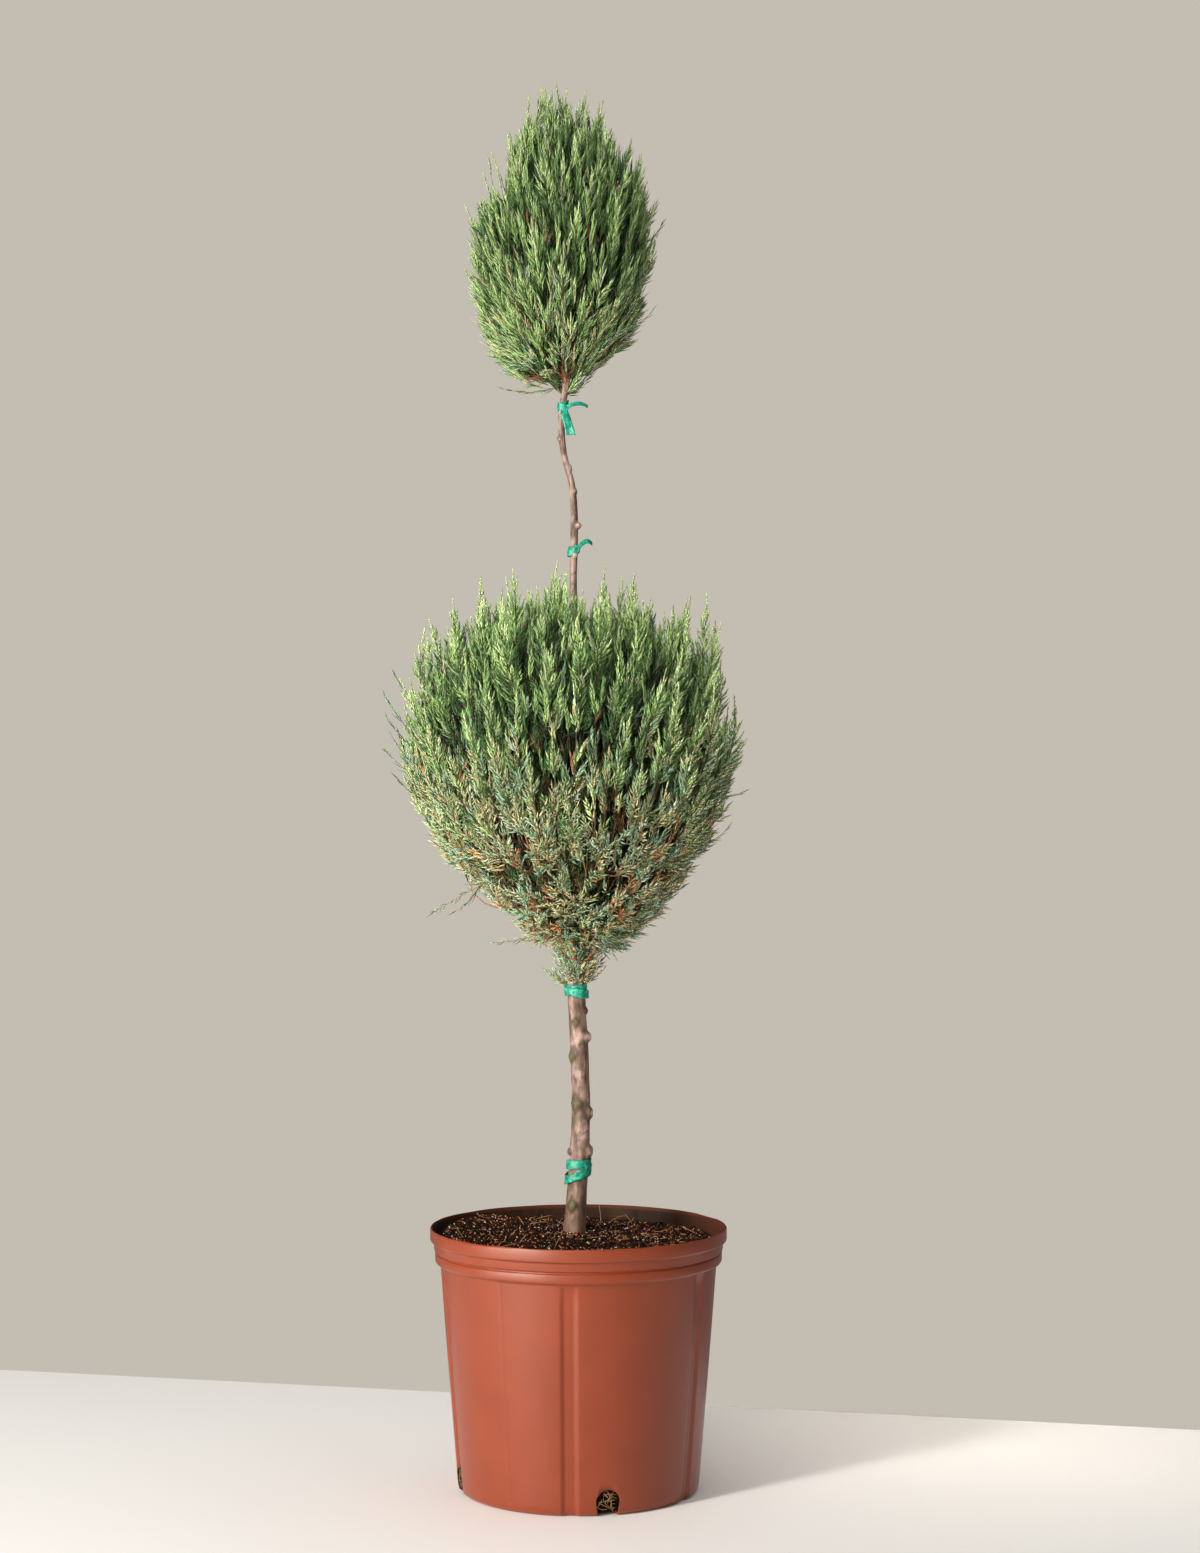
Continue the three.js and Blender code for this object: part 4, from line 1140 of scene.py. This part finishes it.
wisps = [  # thin twigs that stray from the crowns: crown, start, bend, end
    ("lower", (-70, -45, 622), (-112, -60, 604), (-146, -58, 581)),
    ("lower", (-96, -52, 612), (-106, -56, 592), (-122, -58, 584)),
    ("lower", (-24, -30, 566), (-58, -50, 552), (-87, -55, 553)),
    ("lower", (-150, 4, 770), (-176, 8, 800), (-189, 6, 826)),
    ("lower", (-150, -20, 742), (-182, -24, 776), (-195, -26, 801)),
    ("lower", (-148, 18, 730), (-180, 16, 752), (-197, 12, 782)),
    ("lower", (-152, -2, 716), (-176, -6, 736), (-190, -8, 762)),
    ("lower", (-146, -8, 706), (-178, -12, 724), (-196, -14, 746)),
    ("lower", (-140, -30, 684), (-168, -36, 700), (-184, -38, 719)),
    ("lower", (118, -40, 700), (146, -46, 692), (168, -44, 704)),
    ("lower", (122, -30, 716), (150, -36, 726), (163, -34, 746)),
    ("lower", (104, -30, 650), (134, -40, 646), (150, -38, 668)),
    ("upper", (-20, -6, 1112), (-46, -14, 1098), (-78, -16, 1108)),
    ("upper", (40, -20, 1170), (62, -28, 1166), (74, -28, 1184)),
    ("upper", (52, -10, 1250), (78, -12, 1254), (86, -10, 1278)),
]
# The greens from deep to fresh are dealt by how far out a spray grows: the dark ones are painted shade inside the
# crown, and the light ones are painted light at its outline
kinds = {  # living juniper scales, satin and a little waxy, and twigs; dealt out spray by spray from where each grows
    "fresh_tips": "B6C98E",
    "bright_green": "9DB776",
    "leaf_green": "82A361",
    "mid_green": "63844C",
    "deep_green": "406035",
    "shade_green": "293E23",
    "blue_green": "84A68A",
    "grey_green": "AEBB9F",
    "olive_tan": "B5AC80",
    "sage_green": "909C74",
    "dry_orange": "B47A4A",
    "inner_brown": "7D5A3C",
    "inner_shade": "1B2613",
}
twigColours = {"russet_twigs": "94643E", "shaded_twigs": "4A3A2A", "shoot_stems": "66703C", "straw_stems": "A8935E"}
kindNumber = {name: number for number, name in enumerate(kinds)}
byLight = ((0.06, "deep_green"), (0.28, "mid_green"), (0.5, "leaf_green"), (0.74, "bright_green"), (1, "fresh_tips"))
lighter = {"bright_green": "fresh_tips", "leaf_green": "bright_green", "mid_green": "leaf_green"}


def numbersOf(*names):  # of some kinds of strand
    return [kindNumber[name] for name in names]


def bezierWay(start, bend, end, share):  # unit vectors along the same curve
    return unit((bend - start) * (1 - share) + (end - bend) * share)


def joined(groups):  # several groups of arrays as one group
    return [np.concatenate(column) for column in zip(*groups)]


def around(way, turn):  # unit vectors square to each way, turned about it
    guide = np.where(np.abs(way[:, 2:3]) > 0.9, [[1.0, 0.1, 0]], [[0.05, 0.1, 1.0]])
    side = unit(np.cross(way, guide))
    other = np.cross(way, side)
    return side * np.cos(turn)[:, None] + other * np.sin(turn)[:, None]


def fromStem(points):  # level distance from the middle of the stem
    return np.hypot(*(points[:, :2].T - stemMiddle(points[:, 2])[:2]))


def clippedReach(crown, way):  # the distance from the hub to where the plumes are clipped
    clip = clipping[crown["name"]]
    polar = np.degrees(np.arccos(np.clip(way[:, 2], -1, 1)))
    toSide = 0.5 + 0.5 * np.cos(np.arctan2(way[:, 1], way[:, 0]) - math.radians(clip["side"]))
    share = np.interp(polar, clip["polar"], clip["reach"]) - toSide * np.interp(polar, clip["polar"], clip["cut"])
    return outlineReach(crown, way) * share


def outShare(crown, points):  # 0 at the hub and 1 where the plumes are clipped
    out = points - crown["hub"]
    return np.linalg.norm(out, axis=1) / clippedReach(crown, unit(out))


def riseIn(crown, points):  # 0 at the crown's foot and 1 at its top
    return (points[:, 2] - crown["baseHeight"]) / (crown["topHeight"] - crown["baseHeight"])


def openness(crown, points):  # the lower half of the ball is older, and its sprays stand apart
    isBall = crown["name"] == "lower"
    return isBall * (1 - smoothStep(0.32, 0.56, riseIn(crown, points)))


def waysOut(crown, rng, count):  # directions that are spread evenly over the outline, not round the hub
    way = aim(rng.random(count * 8) * 2 * math.pi, np.arccos(rng.uniform(-0.75, 0.995, count * 8)))
    reach = outlineReach(crown, way)
    return way[rng.random(len(way)) < (reach / reach.max()) ** 2][:count]


def placesIn(crown, rng, count, shell):  # such directions, and a place along each between two shares
    way = waysOut(crown, rng, count)
    return way, crown["hub"] + way * (clippedReach(crown, way) * rng.uniform(*shell, len(way)))[:, None]


def numbered(counts):  # for so many of each: whose each one is, and its number there
    owner = np.repeat(np.arange(len(counts)), counts)
    return owner, np.arange(len(owner)) - np.repeat(np.cumsum(counts) - counts, counts)


def bladesOf(root, way, lean, length, radius):  # slim three-sided spindles, a little bent
    side = around(way, np.zeros(len(way)))
    other = np.cross(way, side)
    turn = np.arange(3) * 2 * math.pi / 3
    ring = side[:, None] * np.cos(turn)[:, None] + other[:, None] * np.sin(turn)[:, None]
    waist = root + way * length[:, None] * 0.4 + lean * 0.16
    tip = root + way * length[:, None] + lean
    points = np.concatenate([root[:, None], waist[:, None] + ring * radius[:, None, None], tip[:, None]], axis=1)
    faces = [face for i in range(3) for face in ((0, 1 + (i + 1) % 3, 1 + i), (1 + i, 1 + (i + 1) % 3, 4))]
    faces = np.array(faces)[None] + 5 * np.arange(len(root))[:, None, None]
    return points.reshape(-1, 3), faces.reshape(-1, 3)


def dealKinds(rng, share, rise, crownName, isTip):  # share: how far out, rise: how far up the crown
    luck = rng.random(len(share))
    outer = np.clip((share - 0.76) / 0.24, 0, 1)  # 0 in the crown's shade and 1 at its outline
    isLower = crownName == "lower"  # whose foot is old growth, and dull a long way up
    low = np.clip((0.68 - rise) / 0.36, 0, 1) ** 1.3 if isLower else np.clip(0.42 - rise, 0, 1)
    dull = np.clip((0.86 - rise) / 0.36, 0, 1) * (1 - 0.5 * low) * (1 if isLower else 0.4)
    # Sprays are painted lighter far out and darker deep in the crown, as painted light and shade, and darker towards
    # the top and a little at the old foot, as painted shade that holds down the light falling there; they are also
    # lighter at their tips and by luck
    bright = 0.05 + outer * 0.88 - 0.16 * (rise - 0.5) - 0.12 * low + 0.66 * (luck - 0.5) + 0.14 * isTip
    kind = np.full(len(share), kindNumber["shade_green"])
    for limit, name in byLight:
        kind[bright > limit] = kindNumber[name]
    pick = rng.random(len(share))
    for likely, name in (  # older kinds, each of which takes from the one before
        (0.86 * low + 0.34 * dull, "sage_green"),
        (0.86 * low + 0.012, "blue_green"),
        (0.6 * low + 0.008, "grey_green"),
        (0.48 * low + 0.005, "olive_tan"),
        (0.09 * low**3 * isLower, "dry_orange"),
    ):
        kind[(pick < likely) & (outer > 0.05)] = kindNumber[name]
    kind[(share < 0.7) & (luck < 0.14 + 0.4 * low)] = kindNumber["inner_brown"]
    return kind


def headingAt(crown, points, rng):  # shoots turn upright near the top and spread out lower down
    out = unit(points - crown["hub"])
    polar = np.arccos(np.clip(out[:, 2], -1, 1))  # in radians from straight up
    heading = out * [1, 1, 0] * (0.12 + 1.05 * smoothStep(0.5, 2.15, polar))[:, None]
    heading[:, 2] = 1 - 0.55 * smoothStep(1.3, 2.4, polar)
    fanned = looks[crown["name"]]["fanned"]
    foot = [crown["hub"][0], crown["hub"][1], crown["baseHeight"]]
    heading = heading * (1 - fanned) + unit(points - foot) * fanned
    stray = 0.11 + 0.55 * smoothStep(1.1, 1.7, polar) * (crown["name"] == "lower")
    heading += rng.normal(size=heading.shape) * stray[:, None]
    heading[:, 2] = np.maximum(heading[:, 2], -0.1)
    return unit(heading)


def plumeAxes(crown, rng):  # every plume of a crown, from its mass's bough out to its tip
    foot, tip = joined([plumesOf(mass) for mass in crown["masses"]])
    source = np.concatenate([np.repeat(mass["boughTip"][None], mass["plumes"], 0) for mass in crown["masses"]])
    for ends in (foot, tip):
        way = unit(ends - crown["hub"])
        ends += (crown["hub"] - ends) * (1 - clippedReach(crown, way) / outlineReach(crown, way))[:, None]
    tip += (crown["hub"] - tip) * (rng.random(len(tip)) ** 2 * 0.08)[:, None]
    heading = headingAt(crown, tip, rng)
    length = np.linalg.norm(tip - foot, axis=1)
    bend = tip - heading * length[:, None] * foliage["plumeCurve"]
    bend += rng.normal(size=bend.shape) * older["stray"] * openness(crown, tip)[:, None]
    return foot, bend, tip, source


def plumeShoots(look, rng, foot, bend, tip, vigour):  # side shoots all round each plume
    length = np.linalg.norm(tip - foot, axis=1)
    start, last = foliage["shootStart"], foliage["shootEnd"]
    perPlume = np.ceil(length * (1 - start) / foliage["shootSpacing"]).astype(int)
    plume, order = numbered(perPlume)
    share = start + (order + rng.uniform(0.2, 0.8, len(plume))) / perPlume[plume] * (last - start)
    path = (foot[plume], bend[plume], tip[plume], share[:, None])
    root, axis = bezier(*path), bezierWay(*path)
    taper = smoothStep(foliage["slimFrom"], 1, share)
    turn = order * goldenAngle + plume * 1.7 + rng.normal(size=len(plume)) * foliage["shootTurn"]
    stray = rng.normal(size=len(plume)) * foliage["shootAngle"]
    angle = np.radians(look["angle"] * (1.1 - 0.2 * share - 0.3 * taper) + stray)
    way = axis * np.cos(angle)[:, None] + around(axis, turn) * np.sin(angle)[:, None]
    shortest = foliage["shortestShoot"]
    reach = look["spread"] * vigour[plume] * (shortest + (1 - shortest) * (1 - share) ** foliage["shootPower"])
    reach *= rng.uniform(*foliage["shootLength"], len(plume))
    end = root + unit(way + axis * 0.25) * reach[:, None]
    return root, root + way * reach[:, None] * 0.5, end, reach, taper * 0.7


def leadersOf(crown, rng, foot, bend, tip):  # the slim shoot that carries each plume past its tip
    way = bezierWay(foot, bend, tip, np.full((len(foot), 1), 0.97))
    reach = foliage["leader"] * rng.uniform(*foliage["leaderLength"], len(foot))
    reach *= 1 - older["leader"] * openness(crown, tip)
    end = tip + way * (reach * foliage["leaderOut"])[:, None]
    root = tip - way * (reach * (1 - foliage["leaderOut"]))[:, None]
    return root, (root + end) / 2 + rng.normal(size=tip.shape) * 0.8, end, reach, np.ones(len(foot))


def fillersOf(crown, look, rng):  # shorter sprays that fill the shell between the plumes
    way, root = placesIn(crown, rng, look["fillers"], foliage["fillerShell"])
    reach = look["fillerReach"] * rng.uniform(*foliage["fillerLength"], len(way))
    end = root + headingAt(crown, root, rng) * reach[:, None]
    return root, (root + end) / 2 + rng.normal(size=way.shape) * 1.5, end, reach, 0.25 * np.ones(len(way))


def footSprays(crown, look, rng):  # short sprays that close each crown's foot round the stem
    count = look["footSprays"]
    height = crown["baseHeight"] + 2 + rng.random(count) ** 1.3 * foliage["footHeight"]
    away = aim(rng.random(count) * 2 * math.pi, math.pi / 2)
    root = stemMiddle(height).T + away * stemAt(height, 3)[:, None] * 0.9
    outward = away * rng.uniform(*foliage["footSpread"], (count, 1))
    way = unit(outward + [[0, 0, 1]] + rng.normal(size=(count, 3)) * 0.25)
    reach = look["footReach"] * rng.uniform(*foliage["footLength"], count)
    end = root + way * reach[:, None]
    return root, (root + end) / 2 - [0, 0, 3], end, reach, 0.2 * np.ones(count)


def standsFree(crown, rng, root, bend, end, reach, taper):  # inside the clipping, off the stem, out of the hollows
    keep = (outShare(crown, end) < furthestTip + 0.02) & (fromStem(end) > foliage["clearOfStem"])
    middle = (root + end) / 2
    isOuter = (outShare(crown, middle) > 0.68) & (middle[:, 1] < 0)
    for x, z, radius in hollows:
        keep &= ~(isOuter & (np.hypot(middle[:, 0] - x, middle[:, 2] - z) < radius))
    for name, x, z in notches:
        keep &= (name != crown["name"]) | (end[:, 0] > x) | (end[:, 2] < z)
    return keep & (rng.random(len(root)) > older["lost"] * openness(crown, root))


def strandsOf(crown, look, rng, root, bend, end, reach, taper):  # both sides of each shoot, in its own plane
    perShoot = np.ceil(reach / foliage["strandSpacing"]).astype(int) + 1
    shoot, order = numbered(perShoot)
    isLast = order == perShoot[shoot] - 1
    at = np.where(isLast, 0.93, (order + 0.55) / perShoot[shoot])
    isOpen, slim = openness(crown, root)[shoot], taper[shoot]
    path = (root[shoot], bend[shoot], end[shoot], at[:, None])
    strandRoot, axis = bezier(*path), bezierWay(*path)
    planeTurn = rng.random(len(root)) * math.pi
    turn = planeTurn[shoot] + (order % 2) * math.pi + rng.normal(size=len(shoot)) * 0.45
    beside = around(axis, turn)
    spreading = look["angle"] * (1 + older["spread"] * isOpen) * (1 - slimmer["spread"] * slim)
    spreading *= rng.uniform(*foliage["strandSpread"], len(shoot))
    angle = np.where(isLast, 0.08, np.radians(spreading))
    way = axis * np.cos(angle)[:, None] + beside * np.sin(angle)[:, None]
    length = look["strandShort"] + older["length"] * isOpen
    length += look["strandGrowth"] * (1 - older["growth"] * isOpen) * reach[shoot] * (1 - at)
    length *= rng.uniform(*foliage["strandLength"], len(shoot)) * (1 - slimmer["length"] * slim)
    length[isLast] *= foliage["endStrand"]
    lean = (axis * 0.25 - beside * 0.12) * length[:, None]
    radius = foliage["strandRadius"] * look["thickness"] * rng.uniform(*foliage["strandThickness"], len(shoot))
    radius *= (1 + older["radius"] * isOpen) * (1 - slimmer["radius"] * slim)
    return (strandRoot, way, lean, length, radius), shoot, at


def wispsOf(crown, look, rng):  # stray twigs, with only some of their strands
    path = np.array([line for name, *line in wisps if name == crown["name"]], dtype=float).transpose(1, 0, 2)
    reach = np.linalg.norm(path[2] - path[0], axis=1)
    strands, shoot, _ = strandsOf(crown, look, rng, *path, reach, np.full(len(reach), 0.6))
    kept = rng.random(len(shoot)) < foliage["wispStrands"]
    *strands, radius = (part[kept] for part in strands)
    kind = rng.choice(numbersOf("blue_green", "leaf_green", "deep_green"), kept.sum())
    return path, [*strands, radius * foliage["wispThickness"]], kind


# Most inner sprays are painted nearly black, as shade inside the crown; a few are the brown of dead foliage
def innersOf(crown, look, rng):  # older sprays inside, coarse and in the shade
    way, root = placesIn(crown, rng, look["inner"], foliage["innerShell"])
    count = len(way)
    heading = unit(way * 0.7 + [[0, 0, 0.7]] + rng.normal(size=(count, 3)) * 0.45)
    length = rng.uniform(*foliage["innerLength"], count) * (0.7 + 0.3 * crown["radius"] / crowns[0]["radius"])
    kind = np.where(rng.random(count) < foliage["innerBrown"], *numbersOf("inner_brown", "inner_shade"))
    inside = (fromStem(root) > foliage["innerClear"]) & (outShare(crown, root + heading * length[:, None]) < 0.87)
    lean = rng.normal(size=(count, 3)) * 3
    inners = (root, heading, lean, length, rng.uniform(*foliage["innerRadius"], count))
    return [part[inside] for part in inners], kind[inside]


def twigsOf(crown, look, plumes, vigour, wispPath, shoots):  # one along each plume, wisp and longer shoot
    foot, bend, tip, source = plumes
    steps = np.linspace(0, 1, 6)[None, :, None]
    swing = (source + foot) / 2 - [[0, 0, 0.06]] * np.linalg.norm(foot - source, axis=1)[:, None]
    inward = bezier(source[:, None], swing[:, None], foot[:, None], steps)
    onward = bezier(foot[:, None], bend[:, None], tip[:, None], steps[:, 1:] * 0.93)
    paths = np.concatenate([inward, onward], axis=1)
    rings = paths.shape[1]
    radii = np.linspace(look["twig"], foliage["twigTip"], rings)[None] * vigour[:, None]
    wispPaths = bezier(*wispPath[:, :, None], np.linspace(0, 1, rings)[None, :, None])
    wispRadii = np.linspace(0.5, 0.22, rings)[None] * np.ones((len(wispPaths), 1))
    paths, radii = joined([(paths, radii), (wispPaths, wispRadii)])
    isLow = riseIn(crown, paths[:, -1]) < 0.42
    isLong = shoots[3] > foliage["longShoot"]
    root, bend, end = (part[isLong, None] for part in shoots[:3])
    shootPaths = bezier(root, bend, end, np.array([0, 0.5, 0.95])[None, :, None])
    shootRadii = np.array([0.6, 0.5, 0.4])[None] * np.ones((len(root), 1))
    isOlder = openness(crown, shootPaths[:, 0]) > 0.5
    groups = {
        "russet_twigs": (paths[isLow], radii[isLow], 5),
        "shaded_twigs": (paths[~isLow], radii[~isLow], 5),
        "shoot_stems": (shootPaths[~isOlder], shootRadii[~isOlder], 3),
        "straw_stems": (shootPaths[isOlder], shootRadii[isOlder], 3),
    }
    return {name: tubes(*group) for name, group in groups.items() if len(group[0])}


def growCrown(crown):  # every strand of a crown, with its kind, and its twigs
    rng = np.random.default_rng(crown["seed"])
    look = looks[crown["name"]]
    plumes = plumeAxes(crown, rng)
    axis = plumes[:3]
    vigour = rng.uniform(*foliage["plumeVigour"], len(axis[0]))
    grown = joined([plumeShoots(look, rng, *axis, vigour), fillersOf(crown, look, rng)])
    keep = standsFree(crown, rng, *grown)
    extra = [leadersOf(crown, rng, *axis), footSprays(crown, look, rng)]
    shoots = joined([[part[keep] for part in grown]] + extra)
    root, _, end, _, taper = shoots

    strands, shootOf, at = strandsOf(crown, look, rng, *shoots)
    middle = (root + end) / 2
    shootKind = dealKinds(rng, outShare(crown, middle), riseIn(crown, middle), crown["name"], taper > 0.5)[shootOf]
    kind = shootKind.copy()
    outerHalf = (at > 0.5) & (rng.random(len(at)) < 0.6)
    for name, lighterName in lighter.items():
        kind[(shootKind == kindNumber[name]) & outerHalf] = kindNumber[lighterName]
    aged = np.isin(kind, numbersOf("blue_green", "grey_green", "olive_tan")) & (rng.random(len(at)) < 0.2)
    kind[aged] = rng.choice(numbersOf("leaf_green", "mid_green", "blue_green"), aged.sum())

    wispPath, wispStrands, wispKind = wispsOf(crown, look, rng)
    inners, innerKind = innersOf(crown, look, rng)
    twigs = twigsOf(crown, look, plumes, vigour, wispPath, shoots)
    return joined([strands, wispStrands, inners]), np.concatenate([kind, wispKind, innerKind]), twigs


strandCount = 0
for crown in crowns:
    strands, kind, twigs = growCrown(crown)
    strandCount += len(kind)
    masses = [mass["node"] % "mass" for mass in crown["masses"]]
    chosen = {name: kind == number for name, number in kindNumber.items() if number in kind}
    blades = {name: bladesOf(*(part[which] for part in strands)) for name, which in chosen.items()}
    for name, (points, faces) in {**blades, **twigs}.items():
        finish = {"roughness": 0.7} if name in twigs else {"roughness": 0.55, "IOR": 1.42}
        material = plainMaterial(f"juniper_{name}", {**kinds, **twigColours}[name], **finish)
        name = f"{crown['name']}_crown_{name}"
        newPiece(name, meshOfArrays(name, points, faces), [material], "foliage", *masses)
        print(name, len(faces), "triangles")
print("foliage is made,", strandCount, "strands")
